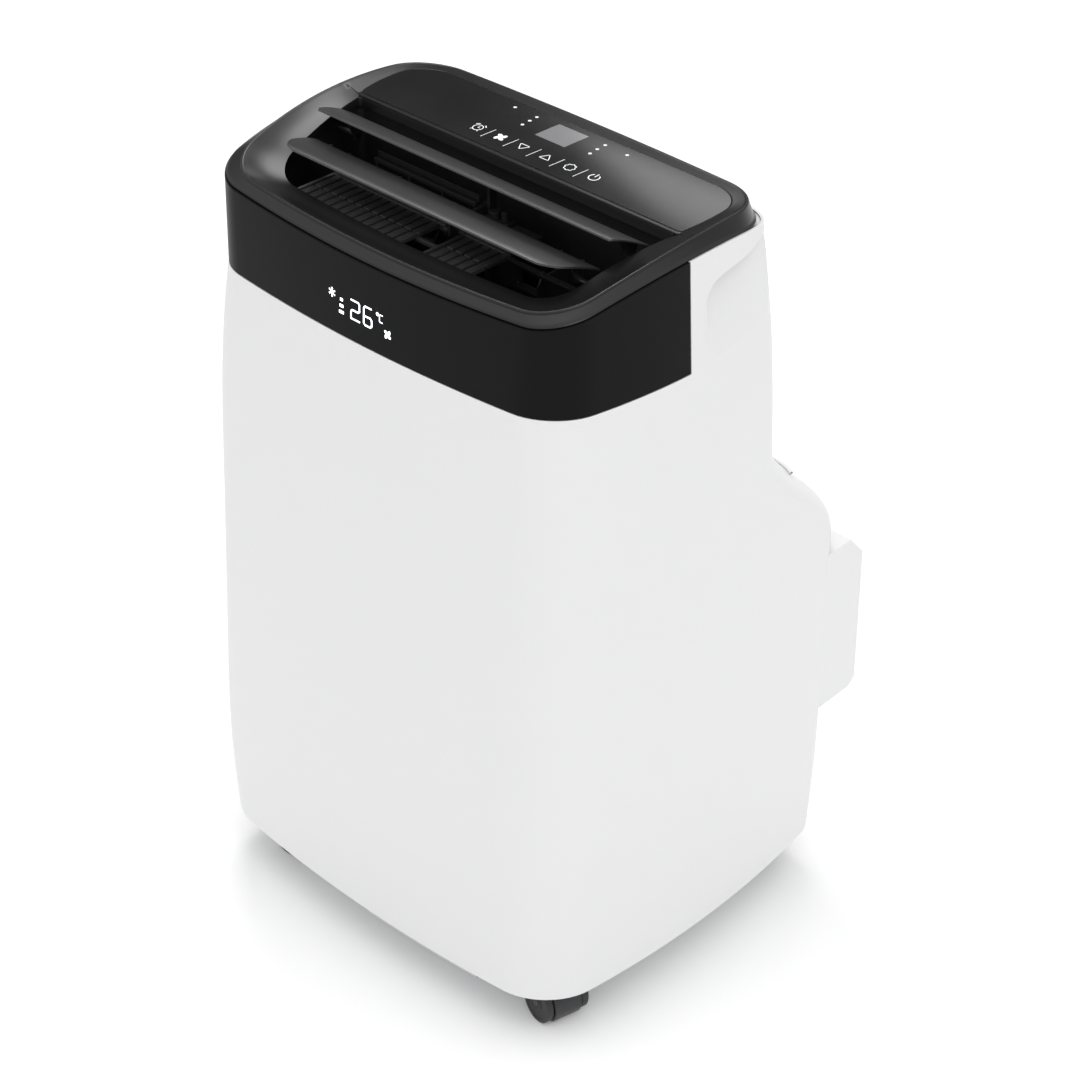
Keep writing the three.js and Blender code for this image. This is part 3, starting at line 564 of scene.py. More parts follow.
FINISHES = {
    "white_shell": lambda n, s: moulded(n, tuple(s.shell), s.shell_rough, 0.7, 0.06, 0.006),
    "black_band": lambda n, s: moulded(n, tuple(s.black), 0.36, 0.5, 0.07, 0.08, 0.0, 0.06),
    "black_frame": lambda n, s: moulded(n, tuple(s.frame), 0.3, 0.45, 0.08, 0.08, 0.0, 0.35),
    "black_inside": lambda n, s: moulded(n, (0.012, 0.012, 0.013), 0.5, 0.6, 0.12, 0.1),
    "satin_blade": lambda n, s: moulded(n, tuple(s.blade), 0.36, 0.9, 0.3, 0.15, 0.0, 1.0),
    "grille_black": lambda n, s: moulded(n, (0.05, 0.05, 0.052), 0.4, 0.7, 0.2, 0.15, 0.0, 0.8),
    "touch_glass": lambda n, s: moulded(n, (0.009, 0.009, 0.0095), 0.2, 0.4, 0.01, 0.03, 0.0, 0.45),
    "grey_window": lambda n, s: moulded(n, (0.22, 0.22, 0.225), 0.2, 0.4, 0.01, 0.02, 0.4),
    "grey_plastic": lambda n, s: moulded(n, (0.52, 0.53, 0.54), 0.5, 0.6, 0.1, 0.03),
    "caster_black": lambda n, s: moulded(n, (0.022, 0.022, 0.025), 0.35, 0.5, 0.1, 0.1),
    "wheel_rubber": lambda n, s: moulded(n, (0.03, 0.03, 0.03), 0.6, 0.8, 0.3, 0.15),
    "soft_rubber": lambda n, s: moulded(n, (0.03, 0.03, 0.031), 0.7, 0.6, 0.25, 0.12),
    "board_green": lambda n, s: moulded(n, (0.03, 0.16, 0.08), 0.45, 0.5, 0.2, 0.2),
    "enamel_black": lambda n, s: moulded(n, (0.02, 0.02, 0.022), 0.3, 2.0, 0.2, 0.1, 0.4),
    "coil_fins": lambda n, s: finned(n, (0.72, 0.73, 0.74), 1.8),
    "motor_steel": lambda n, s: metal(n, (0.55, 0.56, 0.57), 0.35, (1, 6, 1)),
    "copper_tube": lambda n, s: metal(n, (0.72, 0.40, 0.25), 0.3, (1, 1, 1)),
    "filter_mesh": lambda n, s: woven(n, (0.24, 0.25, 0.26), 2.2),
    # the printed symbols get a faint glow of their own: painted light, as the print is no lamp
    "white_print_painted_glow": lambda n, s: lit(n, (0.85, 0.86, 0.87), 0.35),
    "led_white": lambda n, s: lit(n, (0.93, 0.96, 1.0), s.led),
}


# ---------------------------------------------------------------- settings
def number(name, description, default, **limits):
    return bpy.props.FloatProperty(name=name, description=description, default=default, **limits)


def colour(name, description, *rgb):
    kind = dict(subtype="COLOR", size=3, default=rgb)
    return bpy.props.FloatVectorProperty(name=name, description=description, **kind)


class FinishSettings(bpy.types.PropertyGroup):
    """Colours and gloss that a user would change."""

    shell: colour("Shell", "Colour of the white cabinet", 0.77, 0.77, 0.775)
    shell_rough: number("Shell roughness", "Gloss of the cabinet", 0.42, min=0, max=1, subtype="FACTOR")
    black: colour("Band", "Colour of the display band", 0.007, 0.007, 0.0075)
    frame: colour("Top frame", "Colour of the top frame", 0.008, 0.008, 0.0085)
    blade: colour("Blades", "Colour of the louvre blades", 0.016, 0.016, 0.017)
    led: number("Display light", "Strength of the lit display", 2.2, min=0, max=20)


class ShapeSettings(bpy.types.PropertyGroup):
    """Sizes that a user would change."""

    wall: number("Wall", "Thickness of the outer shells", 0.0024, unit="LENGTH", min=0.001, max=0.004)
    edge: number("Edge radius", "Rounding at the rims of the shells", 0.0006, unit="LENGTH", min=0)
    slats: bpy.props.IntProperty(
        name="Intake slats", description="Slats in the upper intake grille", default=19, min=4, max=40
    )


class StudioSettings(bpy.types.PropertyGroup):
    """The studio's floor and light."""

    world: number("Surround", "Strength of the surround", 0.84, min=0)
    key: number("Key", "Power of the key light", 16, min=0, unit="POWER")
    overhead: number("Overhead", "Power of the overhead light", 24, min=0, unit="POWER")
    glow: number("Glow", "Power of the back light", 2.4, min=0, unit="POWER")


# ---------------------------------------------------------------- cabinet skin
def skin():
    """The whole outer skin from the floor edge to the shoulder under the top frame."""
    rings = [level(plan(body_spec(z), SKIN_INSET), z) for z in body_levels()]
    low = rings[-1]
    high = lifted(plan(SHOULDER, SKIN_INSET), shoulder_z)
    inward = [Vector((-v.x, -(v.y + 30) * 0.9, 0)).normalized() for v in low]
    steps = [("foot", 0.5), ("foot", 1.0)] + [("bowl", i / 11) for i in range(1, 12)]
    steps += [("lip", 0.0), ("top", 0.08), ("top", 0.4), ("top", 0.75), ("top", 1.0)]
    for zone, t in steps:
        ring = []
        for a, b, pull in zip(low, high, inward):
            y = b.y
            lip = min(along(GRIP_LIP, y), b.z - 3)
            foot = min(along(GRIP_FOOT, y), lip - 4)
            if zone == "foot":
                z = lerp(BAND_BOTTOM, foot, t)
            elif zone == "bowl":
                z = lerp(foot, lip - 0.5, t)
            elif zone == "lip":
                z = lip
            else:
                z = lerp(lip, b.z, t)
            point = a.lerp(b, (z - BAND_BOTTOM) / (b.z - BAND_BOTTOM))
            if zone == "bowl" and GRIP_FRONT < y < GRIP_REAR:
                point = point + pull * (along(GRIP_DEPTH, y) * t**0.85)
            ring.append(point)
        rings.append(ring)
    bm = bmesh.new()
    stack(bm, rings)
    tidy_mesh(bm)
    return bm


def window_planes(gap, z0=40.0, z1=WINDOW_TOP):
    return block_planes(-PANEL_HALF - gap, PANEL_HALF + gap, 60, 260, z0, z1 + gap)


class AC_OT_cabinet(bpy.types.Operator):
    """Build the white cabinet with its two hand scoops, and the black display band round the front"""

    bl_idname = "ac.cabinet"
    bl_label = "Cabinet and display band"

    def execute(self, context):
        shape = context.scene.ac_shape
        whole = skin()
        band = whole.copy()
        carve(whole, block_planes(-300, 300, -300, SEAM_Y + HALF_GAP, BAND_BOTTOM - 0.01, 800))
        carve(whole, window_planes(HALF_GAP))
        band_room = block_planes(-300, 300, -300, SEAM_Y - HALF_GAP, BAND_BOTTOM + 2 * HALF_GAP, 800)
        carve(band, band_room, keep=True)
        wall, edge = shape.wall / MM, shape.edge / MM
        grips = ("right_hand_grip", "left_hand_grip")
        piece("cabinet_shell", whole, "white_shell", stands_for=("cabinet", *grips), wall=wall, bevel=edge)
        band_edge = dict(bevel=1.0, segments=3)
        piece("front_display_band", band, "black_band", stands_for=("display_band",), wall=wall, **band_edge)
        return {"FINISHED"}


class AC_OT_rear_panels(bpy.types.Operator):
    """Build the upper and lower rear panels, the lip at the foot of the upper one, and their openings"""

    bl_idname = "ac.rear_panels"
    bl_label = "Rear panels"

    def execute(self, context):
        shape = context.scene.ac_shape
        upper = skin()
        lower = upper.copy()
        carve(upper, window_planes(-HALF_GAP, SPLIT_Z + HALF_GAP), keep=True)
        carve(upper, block_planes(-INTAKE_HALF, INTAKE_HALF, 60, 130, *UPPER_INTAKE))
        carve(lower, window_planes(-HALF_GAP, 52.2, SPLIT_Z - 2 * HALF_GAP), keep=True)
        carve(lower, block_planes(-INTAKE_HALF, INTAKE_HALF, 150, 220, *LOWER_INTAKE))
        carve(lower, bore_planes(0, COLLAR_Z, 65, 150, 230, 32))
        for drain in (UPPER_DRAIN, LOWER_DRAIN):
            carve(lower, bore_planes(*drain, 9, 100, 230, 16))
        carve(lower, bore_planes(*CORD_AT, 7.5, 150, 230, 16))
        rims = dict(wall=shape.wall / MM, bevel=shape.edge / MM)
        piece("upper_rear_panel", upper, "white_shell", stands_for=("rear_upper_panel",), **rims)
        piece("lower_rear_panel", lower, "white_shell", stands_for=("rear_lower_panel",), **rims)
        lip = bmesh.new()
        section = ((455.8, 0.6), (456.0, 4.0), (458.0, 4.0), (458.4, 0.6))
        rings = [level(plan(body_spec(457), -out), z) for z, out in section]
        stack(lip, rings + [rings[0]])
        carve(lip, block_planes(-200, 200, 60, 300, 0, 900), keep=True)
        piece("rear_panel_lip", lip, "white_shell", bevel=0.3)
        return {"FINISHED"}


class AC_OT_exhaust(bpy.types.Operator):
    """Build the exhaust housing at the back and the round collar in it"""

    bl_idname = "ac.exhaust"
    bl_label = "Exhaust housing and collar"

    def execute(self, context):
        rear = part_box("exhaust_housing")[1].y / MM - 0.7
        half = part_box("exhaust_housing")[1].x / MM - 0.2
        low, high = 192.3, 358.7
        outline = [(150, low), (rear - 8, low), (rear, low + 7)]
        outline += [(rear, high - 22), (rear - 20, high), (150, high)]
        bm = bmesh.new()
        slab(bm, outline, -half, half)
        for vert in bm.verts:
            vert.co.x += math.copysign(0.075 * (rear * MM - vert.co.y), vert.co.x)
        open_ends = [f for f in bm.faces if all(abs(v.co.y - 0.150) < 1e-6 for v in f.verts)]
        bmesh.ops.delete(bm, geom=open_ends, context="FACES")
        bmesh.ops.recalc_face_normals(bm, faces=bm.faces)
        carve(bm, bore_planes(0, COLLAR_Z, 64.5, rear - 5, rear + 5, 48))
        corners = dict(wall=2.8, bevel=1.6, segments=3)
        piece("exhaust_block", bm, "white_shell", stands_for=("exhaust_housing",), **corners)
        bm = bmesh.new()
        front = rear + 0.2 - 26
        profile = [(62, front), (68, front), (68, front + 4), (64, front + 4)]
        profile += [(64, rear - 1), (63.4, rear), (62.6, rear), (62, rear - 1)]
        turned(bm, profile, 72)
        face_back(bm, 0, COLLAR_Z)
        for i in range(3):
            a = math.pi / 2 + i * 2 * math.pi / 3
            tab = (62.6 * math.cos(a), COLLAR_Z + 62.6 * math.sin(a))
            rod(bm, "y", 2.2, front + 10, front + 14, tab, 16)
        piece("exhaust_hose_collar", bm, "white_shell", stands_for=("exhaust_collar",))
        return {"FINISHED"}


# ---------------------------------------------------------------- top
NOTCH = (-21.0, -20.7)


class AC_OT_top_frame(bpy.types.Operator):
    """Build the sculpted top frame with the bowl round the outlet and the seat of the touch panel"""

    bl_idname = "ac.top_frame"
    bl_label = "Top frame"

    def execute(self, context):
        def outer(spec, inset, height, by):
            return lifted(plan(spec, inset, notch=NOTCH), height, by)

        bm = bmesh.new()
        vent, deck = plan(VENT, notch=(-21.0, -20.9), parts=True), plan(DECK, parts=True)
        count = COUNTS["side"][0]
        rows = plan(DECK, notch=NOTCH, parts=True)[1][count:]
        inner = mirrored(vent[0] + vent[1][:count] + rows + deck[2])
        floor = [Vector((v.x, v.y, vent_z(v.y) if v.y < -20.95 else deck_z(v.y))) for v in inner]
        foot = ((3.2, -7), (3.2, 0.3), (2.1, 0.7), (1.8, 1.2), (2.3, 1.9))
        rings = [outer(FRAME_FOOT, inset, shoulder_z, by) for inset, by in foot]
        base, rim = outer(FRAME_FOOT, 3.5, shoulder_z, 2.6), outer(CREST, 0.1, crest_z, -1.5)
        rings += [[a.lerp(b, t) for a, b in zip(base, rim)] for t in (0, 0.2, 0.5, 0.8, 1)]
        for inset, by in ((0.3, -0.75), (0.8, -0.25), (1.5, -0.02), (2.2, -0.1)):
            rings.append(outer(CREST, inset, crest_z, by))
        edge = outer(CREST, 2.8, crest_z, -0.4)
        for t in (0, 0.12, 0.28, 0.44, 0.6, 0.76, 0.9, 1):
            ring = []
            for a, b in zip(edge, floor):
                point = a.lerp(b, t)
                point.z -= 1.5 * math.sin(math.pi * t) * smooth((-30 - b.y) / 60)
                ring.append(point)
            rings.append(ring)
        stack(bm, rings)

        lip = [(0.0, 0.0), (0.35, -0.12), (0.6, -0.5), (0.6, -9)]
        stack(bm, [lifted(plan(VENT, inset), vent_z, by) for inset, by in lip])

        strip = dict(DECK, yf=-21.9)
        steps = [(strip, 0.0, -2.6), (strip, 0.0, -0.4), (strip, 0.35, 0.0), (TOUCH, -0.75, 0.0)]
        steps += [(TOUCH, -0.45, -0.2), (TOUCH, -0.45, -2.8)]
        stack(bm, [lifted(plan(spec, inset), deck_z, by) for spec, inset, by in steps])
        piece("top_frame_moulding", bm, "black_frame", stands_for=("top_frame",))
        return {"FINISHED"}


def plate(bm, outline, height, thick, cells):
    """A plate whose top follows height(x, y), cut to a convex outline in millimetres."""
    xs, ys = [p[0] for p in outline], [p[1] for p in outline]
    x0, x1, y0, y1 = min(xs), max(xs), min(ys), max(ys)
    size = Matrix.Diagonal(((x1 - x0) * MM / 2, (y1 - y0) * MM / 2, 1, 1))
    spot = Matrix.Translation(Vector((x0 + x1, y0 + y1, 0)) * (MM / 2))
    known = set(bm.verts)
    bmesh.ops.create_grid(bm, x_segments=cells[0], y_segments=cells[1], size=1, matrix=spot @ size)
    count = len(outline)
    for i in range(count):
        a, b = Vector(outline[i]), Vector(outline[(i + 1) % count])
        run = b - a
        if run.length < 1e-4:
            continue
        fresh = [v for v in bm.verts if v not in known]
        geom = set(fresh)
        for vert in fresh:
            geom.update(vert.link_edges)
            geom.update(vert.link_faces)
        side = dict(plane_co=Vector((a.x, a.y, 0)) * MM, plane_no=Vector((run.y, -run.x, 0)).normalized())
        bmesh.ops.bisect_plane(bm, geom=list(geom), dist=1e-7, clear_outer=True, **side)
    fresh = [v for v in bm.verts if v not in known]
    for vert in fresh:
        x, y = vert.co.x / MM, vert.co.y / MM
        vert.co.z = height(x, y) * MM
    faces = {f for v in fresh for f in v.link_faces}
    for face in faces:
        if face.normal.z < 0:
            face.normal_flip()
    made = bmesh.ops.extrude_face_region(bm, geom=list(faces), use_keep_orig=True)["geom"]
    low = [g for g in made if isinstance(g, bmesh.types.BMVert)]
    bmesh.ops.translate(bm, verts=low, vec=(0, 0, -thick * MM))
    return [v for v in bm.verts if v not in known]


SCREEN = (-17.3, 17.3, 23.7, 53.3)


class AC_OT_touch_panel(bpy.types.Operator):
    """Build the glossy touch panel, its grey display window and the printed symbols"""

    bl_idname = "ac.touch_panel"
    bl_label = "Touch panel"

    def execute(self, context):
        bm = bmesh.new()
        plate(bm, [tuple(v) for v in plan(TOUCH)], lambda x, y: deck_z(y), 2.4, (64, 24))
        x0, x1, y0, y1 = SCREEN
        carve(bm, block_planes(x0 - 0.15, x1 + 0.15, y0 - 0.15, y1 + 0.15, 700, 760))
        piece("touch_panel_glass", bm, "touch_glass", stands_for=("touch_panel",), bevel=0.5)
        bm = bmesh.new()
        plate(bm, [(x0, y0), (x1, y0), (x1, y1), (x0, y1)], lambda x, y: deck_z(y) - 0.05, 2.2, (8, 8))
        piece("display_window_pane", bm, "grey_window", stands_for=("panel_display_window",), bevel=0.15)
        bm = bmesh.new()
        draw_panel_symbols(bm)
        for vert in bm.verts:
            vert.co.z = (deck_z(vert.co.y / MM) + 0.12) * MM
        # the print carries a faint painted glow from its finish
        piece("panel_symbols", bm, "white_print_painted_glow", outward=False)
        return {"FINISHED"}


# ---------------------------------------------------------------- flat marks, drawn in millimetres on z = 0
def bar(bm, a, b, width):
    a, b = Vector(a), Vector(b)
    run = b - a
    spot = Matrix.Translation(Vector(((a.x + b.x) / 2, (a.y + b.y) / 2, 0)) * MM)
    turn = Matrix.Rotation(math.atan2(run.y, run.x), 4, "Z")
    size = Matrix.Diagonal((run.length * MM / 2, width * MM / 2, 1, 1))
    bmesh.ops.create_grid(bm, x_segments=1, y_segments=1, size=1, matrix=spot @ turn @ size)


def dot(bm, centre, radius, squash=1.0, turn=0.0, segments=20):
    matrix = Matrix.Translation(Vector((centre[0], centre[1], 0)) * MM)
    matrix = matrix @ Matrix.Rotation(turn, 4, "Z") @ Matrix.Diagonal((1, squash, 1, 1))
    bmesh.ops.create_circle(bm, cap_ends=True, segments=segments, radius=radius * MM, matrix=matrix)


def arc(bm, centre, radius, width, start=0.0, sweep=360.0):
    a = math.radians(start)
    way = Vector((math.cos(a), math.sin(a), 0))
    middle = Vector((centre[0], centre[1], 0)) * MM
    inner = bm.verts.new(middle + way * ((radius - width / 2) * MM))
    outer = bm.verts.new(middle + way * ((radius + width / 2) * MM))
    edge = bm.edges.new((inner, outer))
    turn = dict(cent=middle, axis=(0, 0, 1), angle=math.radians(sweep), use_merge=sweep >= 360)
    bmesh.ops.spin(bm, geom=[inner, outer, edge], steps=max(6, int(sweep / 12)), **turn)


def path(bm, points, width, closed=False):
    """Straight strokes with round joints."""
    ends = list(zip(points, points[1:] + points[:1] if closed else points[1:]))
    for a, b in ends:
        bar(bm, a, b, width)
    for p in points:
        dot(bm, p, width / 2, segments=12)


def round_path(points, radius, steps=4):
    """The corner points of a closed path, each replaced by a short curve."""
    made = []
    count = len(points)
    for i in range(count):
        p = Vector(points[i])
        before, after = Vector(points[i - 1]), Vector(points[(i + 1) % count])
        a = p + (before - p).normalized() * radius
        b = p + (after - p).normalized() * radius
        for k in range(steps + 1):
            made.append(tuple(bend(a, p, b, k / steps)))
    return made


def draw_fan(bm, x, y, size):
    for i in range(4):
        a = math.radians(45 + 90 * i)
        centre = (x + size * 0.52 * math.cos(a), y + size * 0.52 * math.sin(a))
        dot(bm, centre, size * 0.48, 0.62, a + 0.5)
    dot(bm, (x, y), size * 0.16)


def draw_panel_symbols(bm):
    line = 0.75
    # timer: a clock with two ears
    x, y = -62, 1
    arc(bm, (x, y), 4.6, line)
    path(bm, [(x, y + 2.6), (x, y), (x + 2.2, y)], 0.6)
    for side in (-1, 1):
        bar(bm, (x + side * 3.2, y + 6.2), (x + side * 6.0, y + 3.9), 0.9)
        bar(bm, (x + side * 3.0, y - 3.9), (x + side * 4.2, y - 5.4), 0.7)
    draw_fan(bm, -35, 1, 6.2)
    for x, way in ((-9, -1), (19, 1)):
        triangle = [(x - 5.4, 1 - way * 3.6), (x + 5.4, 1 - way * 3.6), (x, 1 + way * 4.6)]
        path(bm, round_path(triangle, 1.7), line, closed=True)
    # mode: a ring of eight soft lobes
    x, y = 46, 1
    lobes = []
    for i in range(48):
        a = 2 * math.pi * i / 48
        r = 4.9 + 0.55 * math.cos(8 * a)
        lobes.append((x + r * math.cos(a), y + r * math.sin(a)))
    path(bm, lobes, line, closed=True)
    # power: an open ring with a bar
    x, y = 73, 1.5
    arc(bm, (x, y), 4.8, 0.9, 125, 290)
    bar(bm, (x, y + 0.5), (x, y + 6.2), 0.9)
    for i in range(5):
        x = lerp(-48.4, 59.2, i / 4)
        bar(bm, (x - 1.0, -8.6), (x + 1.0, 8.0), 0.55)
    lamps = [(-67, 50), (-40, 49), (-39, 39.5), (-38, 29.8)]
    lamps += [(38.6, 50.4), (39.6, 39.8), (41, 29.8), (64.5, 49.4)]
    for at in lamps:
        dot(bm, at, 1.55)


# ---------------------------------------------------------------- display in the band
def band_y(x, z):
    """Where the front of the display band lies, behind x and z."""
    def front(spec):
        half, ahead = spec["wf"] - SKIN_INSET, spec["yf"] + SKIN_INSET
        t = (x + half) / (2 * half)
        return ahead - 4 * spec["bf"] * t * (1 - t)

    low, high = front(body_spec(BAND_BOTTOM)), front(SHOULDER)
    return lerp(low, high, (z - BAND_BOTTOM) / (shoulder_z(high) - BAND_BOTTOM))


class AC_OT_display(bpy.types.Operator):
    """Build the lit figures of the front display: snowflake, level bars, temperature and fan"""

    bl_idname = "ac.display"
    bl_label = "Front display figures"

    def execute(self, context):
        bm = bmesh.new()
        # snowflake
        x, y = -36.0, 662.0
        for i in range(3):
            a = math.radians(60 * i + 30)
            dx, dy = 4.3 * math.cos(a), 4.3 * math.sin(a)
            bar(bm, (x - dx, y - dy), (x + dx, y + dy), 0.85)
        for i in range(6):
            a = math.radians(60 * i + 30)
            tip = Vector((x + 2.9 * math.cos(a), y + 2.9 * math.sin(a)))
            for side in (-0.8, 0.8):
                end = tip + Vector((math.cos(a + side), math.sin(a + side))) * 1.3
                bar(bm, tip, end, 0.5)
        # level bars
        for i, half in enumerate((2.9, 2.3, 1.7)):
            z = 648.4 + i * 5.6
            bar(bm, (-24.3 - half, z), (-24.3 + half, z), 2.6)
        # figures
        width = 1.5
        two = [(-12.6, 664), (-4.0, 664), (-2.6, 662.6), (-2.6, 656.6), (-4.0, 655.2), (-11.2, 655.2)]
        two += [(-12.6, 653.8), (-12.6, 647.4), (-2.4, 647.4)]
        path(bm, two, width)
        six = [(11.2, 664), (4.2, 664), (2.6, 662.4), (2.6, 649.0), (4.2, 647.4), (10.4, 647.4)]
        six += [(12.0, 649.0), (12.0, 653.8), (10.4, 655.4), (3.0, 655.4)]
        path(bm, six, width)
        # degrees Celsius
        arc(bm, (18.6, 662.6), 1.2, 0.8)
        path(bm, [(24.4, 663), (21.8, 663), (21.0, 662.2), (21.0, 657.4), (21.8, 656.6), (24.4, 656.6)], 0.9)
        draw_fan(bm, 30.5, 648.5, 4.6)
        for vert in bm.verts:
            px, pz = vert.co.x / MM, vert.co.y / MM
            vert.co = Vector((px, band_y(px, pz) - 0.12, pz)) * MM
        piece("display_figures", bm, "led_white", outward=False)
        return {"FINISHED"}


# ---------------------------------------------------------------- outlet
FRONT_PIVOT, REAR_PIVOT, LINK_DROP = (-93, 706), (-48, 712), 10
FRONT_BLADE = dict(
    front=(-134.5, 733.6), slope=math.atan2(14, 49.5), chord=48, front_half=139.5, knee=161.5,
    mid_half=163.5, mid=24, rear_half=167, arm_x=146, pin_end=176, arm=(-103, -87),
)
REAR_BLADE = dict(
    front=(-81.5, 744.6), slope=math.atan2(26, 54), chord=59, front_half=169.3, knee=172,
    mid_half=174, mid=20, rear_half=178, arm_x=158, pin_end=183.6, arm=(-62, -38),
)
RIB_XS = (-124, -62, 62, 124)


def blade(bm, spec, pivot, drop):
    """A curved blade on two arms with pins, four ribs under it, and the lug of the link."""
    front_y, front_z = spec["front"]
    slope, chord = spec["slope"], spec["chord"]
    half = [(spec["front_half"], 0)]
    tip, knee = Vector((spec["front_half"], 0)), Vector((spec["knee"], 0))
    middle = Vector((spec["mid_half"], spec["mid"]))
    half += [tuple(bend(tip, knee, middle, i / 10)) for i in range(1, 11)]
    half.append((spec["rear_half"], chord))
    outline = [(-x, v) for x, v in half][::-1] + half

    def height(x, v):
        roll = 0.8 * max(0.0, 1 - v / 3.0) ** 2
        return 2.5 - roll - 0.0035 * (v - 0.4 * chord) ** 2

    made = plate(bm, outline, height, 1.7, (70, 22))
    bmesh.ops.rotate(bm, verts=made, cent=(0, 0, 0), matrix=Matrix.Rotation(-slope, 3, "X"))
    bmesh.ops.translate(bm, verts=made, vec=Vector((0, front_y, front_z)) * MM)

    def foot(y):
        return front_z - (y - front_y) * math.tan(slope) + 0.3

    py, pz = pivot
    y0, y1 = spec["arm"]
    for side in (-1, 1):
        x = side * spec["arm_x"]
        lo, hi = sorted((x, x + side * 3))
        slab(bm, [(y0, foot(y0)), (py - 3, pz - 3), (py + 3, pz - 3), (y1, foot(y1))], lo, hi)
        lo, hi = sorted((x, side * spec["pin_end"]))
        rod(bm, "x", 2.35, lo, hi, pivot)
    rib = [(y0, foot(y0)), (y0 + 2, foot(y0) - 4), (y1 - 2, foot(y1) - 4), (y1, foot(y1))]
    for x in RIB_XS:
        slab(bm, rib, x - 0.7, x + 0.7)
    low = pz - drop - 3.4
    slab(bm, [(py - 4, foot(py - 4)), (py - 4, low), (py + 4, low), (py + 4, foot(py + 4))], 3, 6)
    rod(bm, "x", 1.9, -2.5, 4, (py, pz - drop))


class AC_OT_louvres(bpy.types.Operator):
    """Build the two tilting louvre blades and the bar that joins them"""

    bl_idname = "ac.louvres"
    bl_label = "Louvre blades"

    def execute(self, context):
        rows = (
            ("front_louvre_blade", FRONT_BLADE, FRONT_PIVOT, "front_louvre", "louvre_front"),
            ("rear_louvre_blade", REAR_BLADE, REAR_PIVOT, "rear_louvre", "louvre_rear"),
        )
        for name, spec, pivot, body, node in rows:
            bm = bmesh.new()
            blade(bm, spec, pivot, LINK_DROP)
            piece(name, bm, "satin_blade", body, (node,), bevel=0.35)
        bm = bmesh.new()
        (ya, za), (yb, zb) = FRONT_PIVOT, REAR_PIVOT
        za, zb = za - LINK_DROP, zb - LINK_DROP
        link = [(ya - 3, za - 4), (yb + 3, zb - 4), (yb + 4, zb)]
        link += [(yb + 3, zb + 4), (ya - 3, za + 4), (ya - 4, za)]
        slab(bm, link, -2, 2)
        for y, z in ((ya, za), (yb, zb)):
            rod(bm, "x", 4.4, -2.2, 2.2, (y, z))
        piece("louvre_link_bar", bm, "black_inside", "louvre_bar", ("louvre_link",), bevel=0.3)
        return {"FINISHED"}


VANE_XS = (-150, -90, -30, 30, 90, 150)
VANE_PIVOT_Y, VANE_REACH = -44, 32
GRILLE_TOP = 694.0


class AC_OT_outlet(bpy.types.Operator):
    """Build the outlet grille, the swinging vanes with their tie bar, and the rail between the blades"""

    bl_idname = "ac.outlet"
    bl_label = "Outlet grille and vanes"

    def execute(self, context):
        bm = bmesh.new()
        top = GRILLE_TOP
        for x in range(-143, 60, 10):
            if -18 <= x < 12:
                continue
            for y0, y1 in ((-138, -113.6), (-112, -85)):
                block(bm, x, x + 7, y0, y1, top - 4, top)
        block(bm, -147, 61, -139, -136, top - 6, top + 0.4)
        block(bm, -147, 61, -88, -84, top - 6, top + 0.4)
        block(bm, -147, 61, -114.6, -111, top - 7, top - 3)
        block(bm, -148.5, -145, -139, -84, top - 6, top + 0.4)
        block(bm, 58.5, 61.5, -139, -84, top - 6, top + 0.4)
        for x in (-20, 12):
            block(bm, x - 1.5, x + 1.5, -138, -85, top - 6, top + 0.4)
        piece("air_outlet_grille", bm, "grille_black", stands_for=("outlet_grille",), bevel=0.6)

        bm = bmesh.new()
        block(bm, -128, -5, -58, -52, 702, 706)
        block(bm, -128, -5, -53.5, -52, 706, 711)
        for x in (-126, -86, -46, -8):
            block(bm, x, x + 2, -58, -52, 690, 703)
        block(bm, 8, 34, -62, -50, 690, 700)
        rod(bm, "z", 5, 700, 706, (16, -56))
        rod(bm, "z", 3, 700, 709, (28, -56))
        block(bm, 36, 66, -60, -50, 686, 698)
        piece("vane_guide_rail", bm, "black_inside", slot="black_plastic", bevel=0.5)

        foot, head = 640, 680
        front, rear = VANE_PIVOT_Y - VANE_REACH - 6, VANE_PIVOT_Y + 5
        shape = [(front, foot + 5), (front + 3, foot), (rear, foot)]
        shape += [(rear, head), (front + 6, head), (front, head - 9)]
        for i, x in enumerate(VANE_XS, 1):
            bm = bmesh.new()
            slab(bm, shape, x - 0.9, x + 0.9)
            rod(bm, "z", 1.9, 633, foot + 2, (x, VANE_PIVOT_Y))
            rod(bm, "z", 1.4, head - 2, head + 4, (x, VANE_PIVOT_Y - VANE_REACH))
            piece(f"swing_vane_{i}", bm, "satin_blade", f"vane_body_{i}", (f"vane_{i}",), bevel=0.3)

        bm = bmesh.new()
        mid = VANE_PIVOT_Y - VANE_REACH
        block(bm, -157, 157, mid - 3, mid + 3, 680.6, 682.8)
        for x in VANE_XS:
            rod(bm, "z", 4.0, 680.5, 682.9, (x, mid))
        piece("swing_tie_bar", bm, "black_inside", "tie_bar", ("vane_tie_bar",), bevel=0.3)
        return {"FINISHED"}


# ---------------------------------------------------------------- back
def intake(bm, y0, z0, z1, count):
    """A framed grille of sloping slats with three posts behind them."""
    half = INTAKE_HALF - 0.4
    block(bm, -half, half, y0, y0 + 4, z0 + 0.4, z0 + 7)
    block(bm, -half, half, y0, y0 + 4, z1 - 7, z1 - 0.4)
    for side in (-1, 1):
        lo, hi = sorted((side * 133, side * half))
        block(bm, lo, hi, y0, y0 + 4, z0 + 7, z1 - 7)
    pitch = (z1 - z0 - 14) / count
    for i in range(count):
        z = z0 + 7 + (i + 0.5) * pitch
        slab(bm, [(y0, z + 1), (y0 + 4, z - 1), (y0 + 4, z + 0.8), (y0, z + 2.8)], -133.4, 133.4)
    for x in (-67, 0, 67):
        block(bm, x - 1.2, x + 1.2, y0, y0 + 2.6, z0 + 6, z1 - 6)


def refinish(node, look):
    """Gives a part of the frame its finish and leaves its shape alone."""
    mesh = frame["nodes"][node].data
    mesh.materials.clear()
    mesh.materials.append(finish(look))


